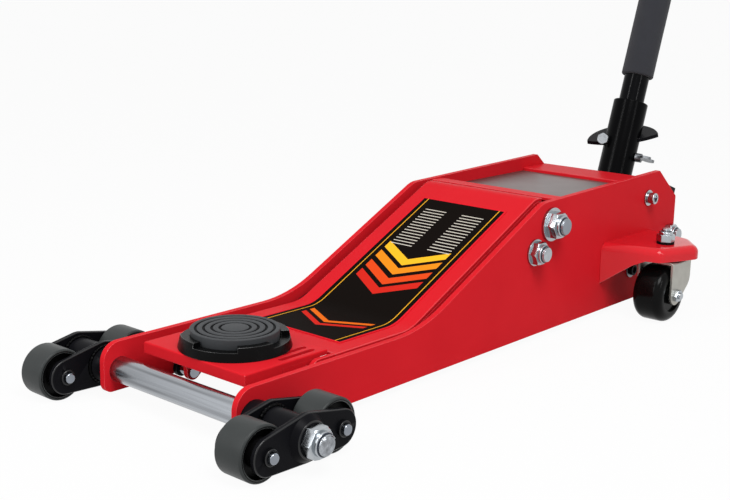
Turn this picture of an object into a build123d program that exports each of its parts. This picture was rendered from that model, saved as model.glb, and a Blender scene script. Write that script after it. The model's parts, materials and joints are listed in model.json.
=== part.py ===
from build123d import *
import os
from math import cos, hypot, radians, sin, tan

# A low trolley jack. Lengths are millimetres and angles are degrees.
# X runs forward to the saddle end, Y to the left, Z up, and the jack stands on Z = 0.
# Every piece is drawn from the front axle (X = 0 there) and moved once, when it is saved,
# so that the origin lies on the floor under the middle of the jack.
# Names that end in _back give a distance behind the front axle.

# Fits
run_gap = 0.05           # radial clearance of a shaft in its hole
side_gap = 0.3           # clearance beside pieces that turn or slide
pin_show = 1.5           # pin end that shows past its plate
weld_lap = 1.0           # how far welded or cast shapes run into each other

# Front rollers and bogies
roller_dia = 50.0
roller_width = 31.0
roller_rim = 4.0         # wall of the rim round the dished sides
roller_dish = 8.0        # depth of the dished sides
roller_hub_dia = 26.0
roller_edge = 2.0        # rounding of the tread's edges
roller_pin_dia = 10.0
roller_pitch = 86.0      # from pin to pin of one bogie
roller_track = 274.0     # from left rollers to right rollers
roller_side_room = 3.0   # from roller to bogie plate
bogie_plate_thick = 5.0
bogie_end_radius = 17.0
bogie_mid_radius = 22.0
bogie_tube_dia = 34.0
bogie_cone_length = 6.0
bogie_cone_dia = 42.0
bogie_cone_end_dia = 32.0
pin_collar_dia = 15.0
pin_collar_length = 3.0
roller_pin_show = 3.5    # pin end that shows past its collar

# Front axle
axle_rise = 3.4          # axle above the roller pins
axle_dia = 25.0
axle_thread_dia = 18.0
axle_nut_across = 26.0
axle_nut_height = 10.5
nut_collar_height = 3.5  # nylon collar on every lock nut
thread_show = 3.6        # thread that shows past a lock nut
thread_chamfer = 1.5

# Side plates
plate_gap = 177.4        # between their inner faces
plate_thick = 6.4
plate_bottom = 8.0
plate_front = 19.0       # ahead of the axle
plate_front_top = 56.5
slope_angle = 25.95
deck_front_back = 437.9
deck_front_height = 157.4
deck_rear_back = 702.0
deck_rear_height = 164.5
tail_back = 749.5
tail_shoulder_height = 126.5
tail_low_height = 42.0
tail_low_back = 718.0
toe_radius = 9.0
nose_radius = 19.0
bend_radius = 170.0
deck_radius = 35.0
tail_radius = 4.0

# Lift arm
arm_pivot_back = 454.0
arm_pivot_height = 131.7
main_shaft_dia = 22.0
main_thread_dia = 18.0
main_washer_dia = 38.0
main_washer_thick = 3.5
main_nut_across = 27.5
main_nut_height = 11.0
pivot_tube_dia = 36.0
arm_half_width = 78.0
arm_wall_thick = 5.0
arm_wall_depth = 34.0    # below the top of the cover
arm_nose_radius = 11.5   # front end of the walls, round the bracket pin
cover_thick = 4.0
cover_radius = 27.0      # rolled end, round the pivot
cover_roll = 40.0        # how far the end rolls over the pivot
cover_front_back = 122.0
cover_front_height = 53.5
cover_bend_radius = 55.0
lift_angle = 60.0        # travel of the arm
lug_inside = 17.0        # half the gap between the lugs
lug_thick = 8.0
lug_length = 75.0        # from the arm pivot to the lug pin
lug_top_radius = 21.5
lug_end_radius = 13.0
lug_pin_dia = 16.0
label_half_width = 59.0
label_front_back = 148.0
label_thick = 0.8

# Saddle and its bracket
saddle_back = 66.6
saddle_top = 75.0
saddle_cup_dia = 108.0
saddle_rim_dia = 102.0
saddle_rim_height = 8.5
saddle_lug_height = 4.5
saddle_lug_count = 4
saddle_lug_angle = 40.0
saddle_lug_turn = 20.0   # of the lugs, clockwise from above
saddle_pad_dia = 85.6
saddle_pad_step = 2.2
saddle_floor = 6.0       # thickness under the pad
saddle_stem_dia = 20.0
saddle_stem_show = 3.0   # below the bracket's boss
pad_rings = 4
pad_groove_width = 2.4
pad_groove_depth = 1.6
pad_ring_pitch = 7.6
pad_border = 4.5         # outside the first groove
bracket_top = 57.0
bracket_thick = 5.0
bracket_length = 105.0
bracket_half_width = 70.0
bracket_lip = 11.0       # depth of the front and side lips
bracket_edge = 1.5
bracket_ear_thick = 6.0
bracket_boss_dia = 34.0
bracket_boss_depth = 14.0
bracket_pin_back = 100.0
bracket_pin_height = 42.0
bracket_pin_dia = 12.0
eye_wall = 3.5           # metal round the bracket's pin holes
slot_width = 6.0
slot_length = 46.0
slot_inset = 9.0         # from the edge of the bracket
slot_pitch = 11.0

# Levelling links
link_pivot_back = 424.0
link_pivot_height = 104.3
link_pivot_dia = 16.0
link_pivot_flange_dia = 21.0
link_pivot_flange_thick = 1.6
link_thick = 5.0
link_inset = 2.7         # from link to side plate
link_width = 17.0
link_eye = 3.0           # wider round the pivot bolt
link_elbow_back = 225.0  # where the links bend, low beside the arm
link_elbow_height = 38.0
link_washer_dia = 30.0
link_washer_thick = 2.5
link_nut_across = 24.0
link_nut_height = 8.0

# Power unit
ram_height = 61.4
ram_dia = 30.0
piston_dia = 38.0
piston_length = 12.0
piston_rest = 2.0        # from the block, with the arm down
seal_width = 4.0
seal_depth = 2.5
cylinder_wall = 6.0
reservoir_dia = 84.0
reservoir_wall = 4.0
reservoir_length = 92.0
reservoir_cap_thick = 12.0
cap_chamfer = 2.0
block_rear_back = 692.0
block_length = 60.0
block_half_width = 64.0
block_bottom = 14.0
block_top = 104.0
block_edge = 4.0
unit_screw_back = 674.7
unit_screw_height = 133.3
unit_screw_dia = 10.0
unit_screw_depth = 22.0
unit_screw_head_dia = 14.0
unit_screw_head = 9.0
unit_socket_across = 8.0
unit_washer_dia = 20.0
unit_washer_thick = 2.0
low_screw_back = 642.0
low_screw_height = 47.0
low_screw_head = 4.5
low_washer_thick = 1.5
low_boss_dia = 18.0
cross_bar_length = 27.0
cross_bar_height = 20.0
cross_bar_rib = 44.0     # width of the rib under the cross bar
filler_plug_dia = 14.0
filler_head_dia = 20.0
filler_head = 2.0
filler_neck = 1.0        # between the reservoir and the plug's head
crosshead_half_width = 16.0
crosshead_height = 46.0
crosshead_edge = 4.0
crosshead_front = 15.5   # ahead of the lug pin
crosshead_neck = 31.5    # behind the lug pin
slot_slack = 1.3         # room each side of the lug pin in its slot
spring_bar_height = 16.0
spring_bar_thick = 10.0
spring_bar_wing = 64.0   # half the length of the bar
spring_offset = 54.0     # return springs, from the middle
spring_radius = 8.0      # to the middle of the wire
spring_wire = 3.0
spring_turns = 19
spring_stud_length = 12.0

# Tray on top of the body
tray_panel_thick = 3.0
tray_front_back = 471.0
tray_bar_width = 18.0    # top flange of the front bar
tray_bar_thick = 4.0
tray_bar_leg = 6.0
tray_bar_drop = 1.2      # below the top of the side plates
tray_rear_back = 668.0
ledge_back = 721.0
ledge_thick = 4.0
ledge_flange = 14.0

# Outriggers and casters
outrigger_top = 92.0
outrigger_sheet = 4.0
outrigger_rim = 16.5     # depth of the rolled rim
outrigger_round = 9.0    # bend at the edge of the top
outrigger_front_back = 567.0
outrigger_length = 123.0
outrigger_reach = 91.0   # out from the side plate
outrigger_nose_back = 20.0   # front corner, behind the front of the outrigger
outrigger_nose_reach = 69.0
outrigger_far_back = 73.0    # widest corner
outrigger_heel_back = 105.0  # rear corner
outrigger_heel_reach = 64.0
outrigger_corner = 14.0
outrigger_web_reach = 56.0
outrigger_web_bottom = 42.0
outrigger_web_knee = 38.0    # where the web's lower edge bends
outrigger_knee_drop = 7.0
kingpin_back = 622.0
kingpin_reach = 55.0     # out from the side plate
kingpin_dia = 10.0
kingpin_head_dia = 16.0
kingpin_head = 2.0
kingpin_nut_across = 19.0
kingpin_nut_height = 8.5
kingpin_washer_dia = 21.0
kingpin_washer_thick = 3.0
race_dia = 40.0
caster_dia = 68.0
caster_width = 38.0
caster_edge = 10.0
caster_trail = 9.0
caster_hub_dia = 24.0
caster_dish = 3.0
caster_rim = 3.0
caster_axle_dia = 8.0
caster_axle_head = 5.0
caster_axle_across = 13.0
caster_axle_show = 2.3   # bolt end past its nut
fork_sheet = 3.0
fork_top_room = 3.5      # from wheel to the underside of the fork
fork_side_room = 1.2     # from wheel to fork leg
fork_rear = 24.0         # behind the kingpin
fork_end_radius = 12.0   # round the wheel's bolt
fork_bend = 4.0          # where the top turns down into the legs
fork_bulge_radius = 18.0  # rounded rear edge of the legs
fork_bulge_drop = 20.0   # its middle, below the top

# Handle, yoke and socket
handle_pivot_back = 734.0
handle_pivot_height = 79.0
handle_lean = 19.0       # back from upright, as it stands
handle_length = 700.0    # from the pivot to the end
handle_tube_dia = 33.4
handle_tube_wall = 3.2
handle_tail = 10.0       # tube below the pivot
handle_slot_width = 10.0
handle_slot_depth = 24.0
plug_thick = 5.0
plug_depth = 22.0
foam_start = 203.0
foam_length = 440.0
foam_dia = 42.8
socket_dia = 45.8
socket_start = 36.0
socket_end = 167.0
socket_edge = 1.5
yoke_bar_start = 38.0
yoke_bar_length = 24.0
yoke_bar_thick = 32.0
cheek_thick = 8.0
cheek_inset = 4.7        # from cheek to side plate
cheek_radius = 18.0
handle_pivot_dia = 16.0
handle_flange_dia = 22.0
handle_flange_thick = 4.0
handle_nut_across = 24.0
handle_nut_height = 9.0
fitting_yaw = 14.0       # pedal bolt and wing screw, round the socket
pedal_centre = 116.0
pedal_half_length = 47.0
pedal_rear = 44.0
pedal_front = 14.0
pedal_thick = 5.0
pedal_slope = 17.0       # up to the rear
pedal_turn = 30.0
retaining_bolt_place = 108.0
retaining_bolt_dia = 8.0
retaining_bolt_offset = 19.8
retaining_bolt_across = 14.0
retaining_bolt_head = 5.5
groove_width = 12.0
groove_depth = 1.4
wing_screw_place = 94.0
wing_screw_dia = 8.0
wing_boss_dia = 12.0
wing_boss_length = 8.0
wing_span = 34.0
wing_height = 15.0
wing_thick = 3.2
wing_ear_radius = 6.7

# Pump and release valve, worked by the handle
pump_lever = 26.0        # from the handle pivot to the roller
pump_lever_back = 26.0   # how far the lever points back
pump_offset = 39.0       # plunger, to the left of the middle
pump_roller_dia = 18.0
pump_roller_width = 10.0
pump_roller_pin_dia = 8.0
pump_lever_thick = 6.0
pump_lever_end_dia = 16.0
plunger_dia = 12.0
plunger_head_dia = 22.0
plunger_head = 5.0
plunger_length = 58.0
plunger_rest_gap = 0.8
plunger_end_room = 3.0   # beyond the plunger when it is pushed in
gland_dia = 24.0
gland_depth = 8.0
gland_proud = 1.5
plunger_spring_radius = 9.5
plunger_spring_wire = 2.0
plunger_spring_turns = 6
release_lean = 42.0
release_stem_dia = 10.0
release_boss_dia = 28.0
release_boss_start = 46.0
release_gland_across = 24.0
release_gland_height = 10.0
release_stem_depth = 72.0
release_pin_dia = 6.0
release_pin_inset = 1.0   # of the cross pin's ends, in the handle tube
release_end_room = 1.0
release_boss_end = 4.0   # of the boss, past the stem

# Worked out from the sizes above
side = {"left": 1, "right": -1}
ends = {"front": 1, "rear": -1}
plate_in = plate_gap / 2
plate_out = plate_in + plate_thick
pin_height = roller_dia / 2
axle_height = pin_height + axle_rise
roller_y = roller_track / 2
bogie_in = roller_y - roller_width / 2 - roller_side_room
bogie_out = roller_y + roller_width / 2 + roller_side_room
cone_end = bogie_out + bogie_plate_thick + bogie_cone_length
arm_pivot = (-arm_pivot_back, arm_pivot_height)
bracket_pin = (-bracket_pin_back, bracket_pin_height)
link_pivot = (-link_pivot_back, link_pivot_height)
link_pin = (bracket_pin[0] + link_pivot[0] - arm_pivot[0], bracket_pin[1] + link_pivot[1] - arm_pivot[1])
link_out = plate_in - link_inset
link_in = link_out - link_thick
ear_out = arm_half_width - arm_wall_thick - 3.0
lug_angle = lift_angle / 2
lug_pin = (arm_pivot[0] - lug_length * sin(radians(lug_angle)),
           arm_pivot[1] - lug_length * cos(radians(lug_angle)))
block_rear = -block_rear_back
unit_screw = (-unit_screw_back, unit_screw_height)
low_screw = (-low_screw_back, low_screw_height)
block_front = block_rear + block_length
reservoir_front = block_front + reservoir_length
cap_front = reservoir_front + reservoir_cap_thick
crosshead_rear = lug_pin[0] - crosshead_neck
tray_panel_top = unit_screw_height + cross_bar_height / 2 + tray_panel_thick
pivot = (-handle_pivot_back, handle_pivot_height)
release_way = (sin(radians(release_lean)), -cos(radians(release_lean)))
pump_roller_at = (pivot[0] - pump_lever * sin(radians(pump_lever_back)),
                  pivot[1] - pump_lever * cos(radians(pump_lever_back)))
plunger_height = pivot[1] - pump_lever * (1 + cos(radians(pump_lever_back))) / 2
plunger_face = pump_roller_at[0] + pump_roller_dia / 2 + plunger_rest_gap
caster_axle_height = caster_dia / 2
fork_top = caster_dia + fork_top_room + fork_sheet
kingpin_y = plate_out + kingpin_reach

lean = radians(handle_lean)
handle_frame = Plane(origin=(pivot[0], 0, pivot[1]), x_dir=(cos(lean), 0, sin(lean)),
                     z_dir=(-sin(lean), 0, cos(lean)))
fitting_frame = handle_frame.location * Rot(Z=fitting_yaw)
front_reach = roller_pitch / 2 + roller_dia / 2
rear_reach = handle_pivot_back + handle_length * sin(lean) + handle_tube_dia / 2 * cos(lean)
to_middle = Pos((rear_reach - front_reach) / 2, 0, 0)


# Small helpers

def across(face, y_from, y_to):
    """Sheet metal: a face drawn in X and Z, made thick from one Y to another."""
    return Pos(0, y_to, 0) * extrude(Plane.XZ * face, amount=y_to - y_from)


def both_sides(face, y_from, y_to):
    """The same sheet on the left and on the right, as two solids."""
    return Compound([across(face, y_from, y_to), across(face, -y_to, -y_from)])


def disc(place, radius):
    """A circle in X and Z."""
    return Pos(*place) * Circle(radius)


def hull(*faces):
    """The outline of a rubber band stretched round the faces."""
    return make_hull([edge for face in faces for edge in face.edges()])


def rod_y(place, dia, y_from, y_to):
    """A round bar across the jack, at a place in X and Z."""
    return Pos(place[0], (y_from + y_to) / 2, place[1]) * Rot(X=90) * Cylinder(dia / 2, y_to - y_from)


def rod_x(x_from, x_to, y, z, dia):
    """A round bar along the jack."""
    return Pos((x_from + x_to) / 2, y, z) * Rot(Y=90) * Cylinder(dia / 2, x_to - x_from)


def rod_z(x, y, dia, z_from, z_to):
    """An upright round bar."""
    return Pos(x, y, (z_from + z_to) / 2) * Cylinder(dia / 2, z_to - z_from)


def outward(sign, place, y):
    """Turns a piece that was built up along Z to point out of the left or the right side."""
    return Plane(origin=(place[0], sign * y, place[1]), x_dir=(1, 0, 0), z_dir=(0, sign, 0)).location


def rounded(corners):
    """A polygon from corners (x, y, radius), with each corner rounded by its radius."""
    face = make_face(Polyline(*[(x, y) for x, y, _ in corners], close=True))
    for x, y, radius in corners:
        if radius > 0:
            face = fillet(face.vertices().sort_by_distance((x, y, 0))[0], radius)
    return face


def hex_head(across_flats, height):
    """A hexagon with its outer corners taken off, built up from Z = 0."""
    corner = across_flats / 2 / cos(radians(30))
    prism = extrude(RegularPolygon(across_flats / 2, 6, major_radius=False), amount=height)
    crown = Pos(0, 0, height / 2) * Cylinder(corner, height)
    crown = chamfer(crown.edges().sort_by(Axis.Z)[-1], (corner - across_flats / 2) * 0.8)
    return prism & crown


def lock_nut(across_flats, height, bore):
    """A nut with a round nylon collar on its outer end."""
    collar = Pos(0, 0, height + nut_collar_height / 2) * Cylinder(across_flats / 2 * 0.86, nut_collar_height)
    collar = fillet(collar.edges().sort_by(Axis.Z)[-1], nut_collar_height / 3)
    hole = Cylinder(bore / 2 + run_gap, 4 * (height + nut_collar_height))
    return hex_head(across_flats, height) + collar - hole


def washer(dia, thick, bore):
    """A flat washer, built up from Z = 0."""
    return Pos(0, 0, thick / 2) * (Cylinder(dia / 2, thick) - Cylinder(bore / 2 + run_gap, thick))


def pair(piece, place, y):
    """Two of the same fastener, one out of each side."""
    return [outward(sign, place, y) * piece for sign in side.values()]


def coil(radius, wire, x_from, x_to, turns):
    """A wound spring along X: half-turn arcs that run on into each other, with straight ends."""
    step = (x_to - x_from - wire) / (2 * turns)
    first = x_from + wire / 2
    bulge = hypot(radius, step / 2)
    path = [Line((first, radius, -wire), (first, radius, 0))]
    for half in range(2 * turns):
        way = 1 if half % 2 == 0 else -1
        x = first + half * step
        path.append(ThreePointArc((x, way * radius, 0), (x + step / 2, 0, way * bulge),
                                  (x + step, -way * radius, 0)))
    last = first + 2 * turns * step
    path.append(Line((last, radius, 0), (last, radius, wire)))
    line = Wire([edge for piece in path for edge in piece.edges()])
    print("spring of", turns, "turns, least gap", round(least_gap(line, wire, turns), 2))
    return sweep(Plane(origin=line @ 0, z_dir=line % 0) * Circle(wire / 2), path=line)


def least_gap(line, wire, turns):
    """Smallest space between neighbouring turns, measured on points along the wire's middle."""
    per_turn = 16
    points = [line @ (i / (per_turn * turns)) for i in range(per_turn * turns + 1)]
    gaps = []
    for i, point in enumerate(points):
        for other in points[i + per_turn // 2:i + 2 * per_turn]:
            gaps.append((point - other).length - wire)
    return min(gaps)


# The frame: side plates, axle and what ties them together

def plate_top(back):
    """Height of the side plates' top edge over the deck."""
    share = (back - deck_front_back) / (deck_rear_back - deck_front_back)
    return deck_front_height + share * (deck_rear_height - deck_front_height)


def side_plate(sign):
    bend_back = deck_front_back - (deck_front_height - plate_front_top) / tan(radians(slope_angle))
    face = rounded([
        (plate_front, plate_bottom, toe_radius),
        (plate_front, plate_front_top, nose_radius),
        (-bend_back, plate_front_top, bend_radius),
        (-deck_front_back, deck_front_height, deck_radius),
        (-deck_rear_back, deck_rear_height, tail_radius),
        (-tail_back, tail_shoulder_height, tail_radius),
        (-tail_back, tail_low_height, tail_radius),
        (-tail_low_back, plate_bottom, tail_radius),
    ])
    face -= disc((0, axle_height), axle_dia / 2 + run_gap)
    face -= disc(arm_pivot, main_shaft_dia / 2 + run_gap)
    face -= disc(link_pivot, link_pivot_dia / 2 + run_gap)
    face -= disc(unit_screw, unit_screw_dia / 2 + run_gap)
    face -= disc(low_screw, unit_screw_dia / 2 + run_gap)
    face -= disc(pivot, handle_pivot_dia / 2 + run_gap)
    return across(face, plate_in, plate_out) if sign > 0 else across(face, -plate_out, -plate_in)


def front_axle():
    thread_end = cone_end + side_gap + axle_nut_height + nut_collar_height + thread_show
    thread = rod_y((0, axle_height), axle_thread_dia, -thread_end, thread_end)
    thread = chamfer(thread.edges().sort_by(Axis.Y)[0], thread_chamfer)
    thread = chamfer(thread.edges().sort_by(Axis.Y)[-1], thread_chamfer)
    return rod_y((0, axle_height), axle_dia, -cone_end - side_gap, cone_end + side_gap) + thread


def main_pivot_shaft():
    thread_end = plate_out + main_washer_thick + main_nut_height + nut_collar_height + thread_show
    thread = rod_y(arm_pivot, main_thread_dia, -thread_end, thread_end)
    return rod_y(arm_pivot, main_shaft_dia, -plate_out, plate_out) + thread


def nut_places():
    """Every lock nut of the frame: across flats, height, thread, and where it is screwed on."""
    return [
        (axle_nut_across, axle_nut_height, axle_thread_dia, (0, axle_height), cone_end + side_gap),
        (main_nut_across, main_nut_height, main_thread_dia, arm_pivot, plate_out + main_washer_thick),
        (link_nut_across, link_nut_height, link_pivot_dia, link_pivot, plate_out + link_washer_thick),
        (handle_nut_across, handle_nut_height, handle_pivot_dia, pivot, plate_out),
    ]


def frame_lock_nuts():
    nuts = [outward(sign, place, y) * lock_nut(flats, height, bore)
            for flats, height, bore, place, y in nut_places() for sign in side.values()]
    kingpin_nut = lock_nut(kingpin_nut_across, kingpin_nut_height, kingpin_dia)
    high = outrigger_top + kingpin_washer_thick
    nuts += [Pos(-kingpin_back, sign * kingpin_y, high) * kingpin_nut for sign in side.values()]
    return Compound(nuts)


def frame_washers():
    main = washer(main_washer_dia, main_washer_thick, main_thread_dia)
    link = washer(link_washer_dia, link_washer_thick, link_pivot_dia)
    screw = washer(unit_washer_dia, unit_washer_thick, unit_screw_dia)
    low = washer(unit_washer_dia, low_washer_thick, unit_screw_dia)
    kingpin = washer(kingpin_washer_dia, kingpin_washer_thick, kingpin_dia)
    rings = []
    for sign in side.values():
        rings.append(outward(sign, arm_pivot, plate_out) * main)
        rings.append(outward(sign, link_pivot, plate_out) * link)
        rings.append(outward(sign, unit_screw, plate_out) * screw)
        rings.append(outward(sign, low_screw, plate_out) * low)
        rings.append(Pos(-kingpin_back, sign * kingpin_y, outrigger_top) * kingpin)
    return Compound(rings)


def shoulder_bolt(dia, flange_dia, flange_thick, inner, outer):
    """A bolt that a moving piece turns on, with a flange on its inner end."""
    length = outer - inner
    bolt = Pos(0, 0, length / 2) * Cylinder(dia / 2, length)
    return bolt + Pos(0, 0, flange_thick / 2) * Cylinder(flange_dia / 2, flange_thick)


def cap_screw(head_height, under):
    """A round screw head with a hexagon socket, on a shank that runs in from Z = 0."""
    head = Pos(0, 0, head_height / 2) * Cylinder(unit_screw_head_dia / 2, head_height)
    head = fillet(head.edges().sort_by(Axis.Z)[-1], head_height / 8)
    socket = RegularPolygon(unit_socket_across / 2, 6, major_radius=False)
    head -= Pos(0, 0, head_height / 2) * extrude(socket, amount=head_height)
    length = under + plate_thick + unit_screw_depth
    return head + Pos(0, 0, -length / 2) * Cylinder(unit_screw_dia / 2, length)


def frame_bolts():
    """Bolts that the links and the yoke turn on, and the screws that hold the power unit."""
    link_inner = link_in - side_gap - link_pivot_flange_thick
    link_outer = plate_out + link_washer_thick + link_nut_height + nut_collar_height + thread_show
    link_bolt = shoulder_bolt(link_pivot_dia, link_pivot_flange_dia, link_pivot_flange_thick,
                              link_inner, link_outer)
    yoke_inner = plate_in - cheek_inset - cheek_thick - side_gap - handle_flange_thick
    yoke_outer = plate_out + handle_nut_height + nut_collar_height + thread_show
    yoke_bolt = shoulder_bolt(handle_pivot_dia, handle_flange_dia, handle_flange_thick,
                              yoke_inner, yoke_outer)
    bolts = pair(link_bolt, link_pivot, link_inner) + pair(yoke_bolt, pivot, yoke_inner)
    bolts += pair(cap_screw(unit_screw_head, unit_washer_thick), unit_screw, plate_out + unit_washer_thick)
    bolts += pair(cap_screw(low_screw_head, low_washer_thick), low_screw, plate_out + low_washer_thick)
    return Compound(bolts)


# The tray between the side plates

def front_cross_bar():
    top = plate_top(tray_front_back) - tray_bar_drop
    bottom = tray_panel_top - tray_panel_thick
    rear = -tray_front_back - tray_bar_width
    flange = Rectangle(tray_bar_width, tray_bar_thick)
    flange = Pos(rear + tray_bar_width / 2, top - tray_bar_thick / 2) * flange
    leg = Pos(rear + tray_bar_leg / 2, (top + bottom) / 2) * Rectangle(tray_bar_leg, top - bottom)
    return across(flange + leg, -plate_in, plate_in)


def tray_panel():
    front = -tray_front_back - tray_bar_width
    length = front + tray_rear_back
    sheet = Box(length, plate_gap, tray_panel_thick)
    return Pos(front - length / 2, 0, tray_panel_top - tray_panel_thick / 2) * sheet


def rear_ledge():
    top = tray_panel_top + ledge_thick
    length = ledge_back - tray_rear_back
    sheet = Pos(-tray_rear_back - length / 2, top - ledge_thick / 2) * Rectangle(length, ledge_thick)
    foot = Rectangle(ledge_thick, 2 * tray_panel_thick)
    foot = Pos(-tray_rear_back - ledge_thick / 2, top - ledge_thick) * foot
    flange = Pos(-ledge_back + ledge_thick / 2, top - ledge_flange / 2) * Rectangle(ledge_thick, ledge_flange)
    return across(sheet + foot + flange, -plate_in, plate_in)


# Outriggers and what carries the casters

def outrigger(sign):
    """A pressed pan that carries the caster, with a tapered web under its front edge."""
    front = -outrigger_front_back
    nose = (front - outrigger_nose_back, plate_out + outrigger_nose_reach)
    outline = rounded([
        (front, plate_out, 0),
        (*nose, outrigger_corner),
        (front - outrigger_far_back, plate_out + outrigger_reach, outrigger_corner),
        (front - outrigger_heel_back, plate_out + outrigger_heel_reach, outrigger_corner),
        (front - outrigger_length, plate_out, 0),
    ])
    low = outrigger_top - outrigger_rim
    pan = Pos(0, 0, low) * extrude(outline, amount=outrigger_rim)
    top_edges = pan.edges().group_by(Axis.Z)[-1].filter_by(lambda e: e.center().Y > plate_out + weld_lap)
    pan = fillet(top_edges, outrigger_round)
    hollow = offset(outline, amount=-outrigger_sheet)
    pan -= Pos(0, 0, low) * extrude(hollow, amount=outrigger_rim - outrigger_sheet)
    web = make_face(Polyline(
        (-outrigger_sheet, low + weld_lap),
        (outrigger_web_reach, low + weld_lap),
        (outrigger_web_knee, low - outrigger_knee_drop),
        (0, outrigger_web_bottom),
        (-outrigger_sheet, outrigger_web_bottom),
        close=True,
    ))
    along = (-outrigger_nose_back, outrigger_nose_reach, 0)
    rearward = (outrigger_nose_reach, outrigger_nose_back, 0)
    web = Plane(origin=(front, plate_out, 0), x_dir=along, z_dir=rearward) * web
    pan += extrude(web, amount=-outrigger_sheet)
    pan -= Pos(front, plate_out - plate_thick / 2, outrigger_top / 2) * Box(
        2 * outrigger_length, plate_thick, 2 * outrigger_top)
    pan -= rod_z(-kingpin_back, kingpin_y, kingpin_dia + 2 * run_gap, 0, 2 * outrigger_top)
    return pan if sign > 0 else mirror(pan, Plane.XZ)


def caster_kingpins():
    """Each kingpin has a wide bearing flange above the fork and a head below it."""
    race_low = fork_top + side_gap
    race_high = outrigger_top - outrigger_sheet
    head_high = fork_top - fork_sheet - side_gap
    head_low = head_high - kingpin_head
    end = outrigger_top + kingpin_washer_thick + kingpin_nut_height + nut_collar_height + thread_show
    pins = []
    for sign in side.values():
        pin = rod_z(-kingpin_back, sign * kingpin_y, kingpin_dia, head_low, end)
        pin += rod_z(-kingpin_back, sign * kingpin_y, kingpin_head_dia, head_low, head_high)
        pin += rod_z(-kingpin_back, sign * kingpin_y, race_dia, race_low, race_high)
        pins.append(pin)
    return Compound(pins)


def caster_fork(sign):
    y = sign * kingpin_y
    leg_in = caster_width / 2 + fork_side_room
    leg_out = leg_in + fork_sheet
    axle = (-kingpin_back + caster_trail, caster_axle_height)
    length = caster_trail + fork_end_radius + fork_rear
    middle = (axle[0] + fork_end_radius - length / 2, fork_top - fork_sheet / 2)
    bulge = (-kingpin_back - fork_rear + fork_bulge_radius, fork_top - fork_bulge_drop)
    edge_on = Pos(*middle) * Rectangle(length, fork_sheet)
    leg = hull(disc(axle, fork_end_radius), disc(bulge, fork_bulge_radius), edge_on)
    leg -= disc(axle, caster_axle_dia / 2 + run_gap)
    fork = across(leg, y + leg_in, y + leg_out) + across(leg, y - leg_out, y - leg_in)
    fork += Pos(middle[0], y, middle[1]) * Box(length, 2 * leg_out, fork_sheet)
    fork = fillet(fork.edges().filter_by(Axis.X).group_by(Axis.Z)[-1], fork_bend)
    return fork - rod_z(-kingpin_back, y, kingpin_dia + 2 * run_gap, 0, 2 * fork_top)


def caster_wheel(sign):
    place = (-kingpin_back + caster_trail, caster_axle_height)
    y = sign * kingpin_y
    half = caster_width / 2
    wheel = Cylinder(caster_dia / 2, caster_width)
    wheel = fillet(wheel.edges(), caster_edge)
    rim = caster_dia / 2 - caster_edge - caster_rim
    for way in (1, -1):
        wheel -= Pos(0, 0, way * (half - caster_dish / 2)) * Cylinder(rim, caster_dish)
    wheel += Cylinder(caster_hub_dia / 2, caster_width + 2 * (fork_side_room - side_gap))
    wheel -= Cylinder(caster_axle_dia / 2 + run_gap, 2 * caster_width)
    return outward(1, place, y) * wheel


def caster_axle(sign):
    """The wheel's bolt and its nut."""
    place = (-kingpin_back + caster_trail, caster_axle_height)
    leg_out = caster_width / 2 + fork_side_room + fork_sheet
    reach = leg_out + caster_axle_head + caster_axle_show
    bolt = Pos(0, 0, (reach - leg_out) / 2) * Cylinder(caster_axle_dia / 2, reach + leg_out)
    bolt += Pos(0, 0, -leg_out - caster_axle_head) * hex_head(caster_axle_across, caster_axle_head)
    nut = hex_head(caster_axle_across, caster_axle_head)
    nut -= Cylinder(caster_axle_dia / 2 + run_gap, 4 * caster_axle_head)
    where = outward(sign, place, kingpin_y)
    return Compound([where * bolt, where * Pos(0, 0, leg_out) * nut])


# Front bogies and rollers

def bogie(sign):
    """Two plates welded to a tube that turns on the axle, drawn along Z and then stood on its side."""
    axle = (0, axle_height)
    pins = [(way * roller_pitch / 2, pin_height) for way in ends.values()]
    face = hull(disc(axle, bogie_mid_radius), *[disc(pin, bogie_end_radius) for pin in pins])
    tube_start = plate_out + side_gap
    frame = Pos(*axle, (tube_start + bogie_out) / 2) * Cylinder(bogie_tube_dia / 2, bogie_out - tube_start)
    frame += Pos(0, 0, bogie_in - bogie_plate_thick) * extrude(face, amount=bogie_plate_thick)
    frame += Pos(0, 0, bogie_out) * extrude(face, amount=bogie_plate_thick)
    cone = Cone(bogie_cone_dia / 2, bogie_cone_end_dia / 2, bogie_cone_length)
    frame += Pos(*axle, cone_end - bogie_cone_length / 2) * cone
    collar_in = bogie_in - bogie_plate_thick - pin_collar_length
    collar_out = bogie_out + bogie_plate_thick + pin_collar_length
    for pin in pins:
        for middle in (collar_in + pin_collar_length / 2, collar_out - pin_collar_length / 2):
            frame += Pos(*pin, middle) * Cylinder(pin_collar_dia / 2, pin_collar_length)
        frame -= Pos(*pin, roller_y) * Cylinder(roller_pin_dia / 2 + run_gap, 2 * roller_track)
    frame -= Pos(*axle, roller_y) * Cylinder(axle_dia / 2 + run_gap, 2 * roller_track)
    frame = Plane(origin=(0, 0, 0), x_dir=(-1, 0, 0), z_dir=(0, 1, 0)).location * frame
    return frame if sign > 0 else mirror(frame, Plane.XZ)


def roller_pins(sign):
    inner = bogie_in - bogie_plate_thick - pin_collar_length - roller_pin_show
    outer = bogie_out + bogie_plate_thick + pin_collar_length + roller_pin_show
    length = outer - inner
    pin = Pos(0, 0, length / 2) * Cylinder(roller_pin_dia / 2, length)
    pin = chamfer(pin.edges().group_by(Axis.Z)[0] + pin.edges().group_by(Axis.Z)[-1], 0.8)
    return Compound([outward(sign, (way * roller_pitch / 2, pin_height), inner) * pin
                     for way in ends.values()])


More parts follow.
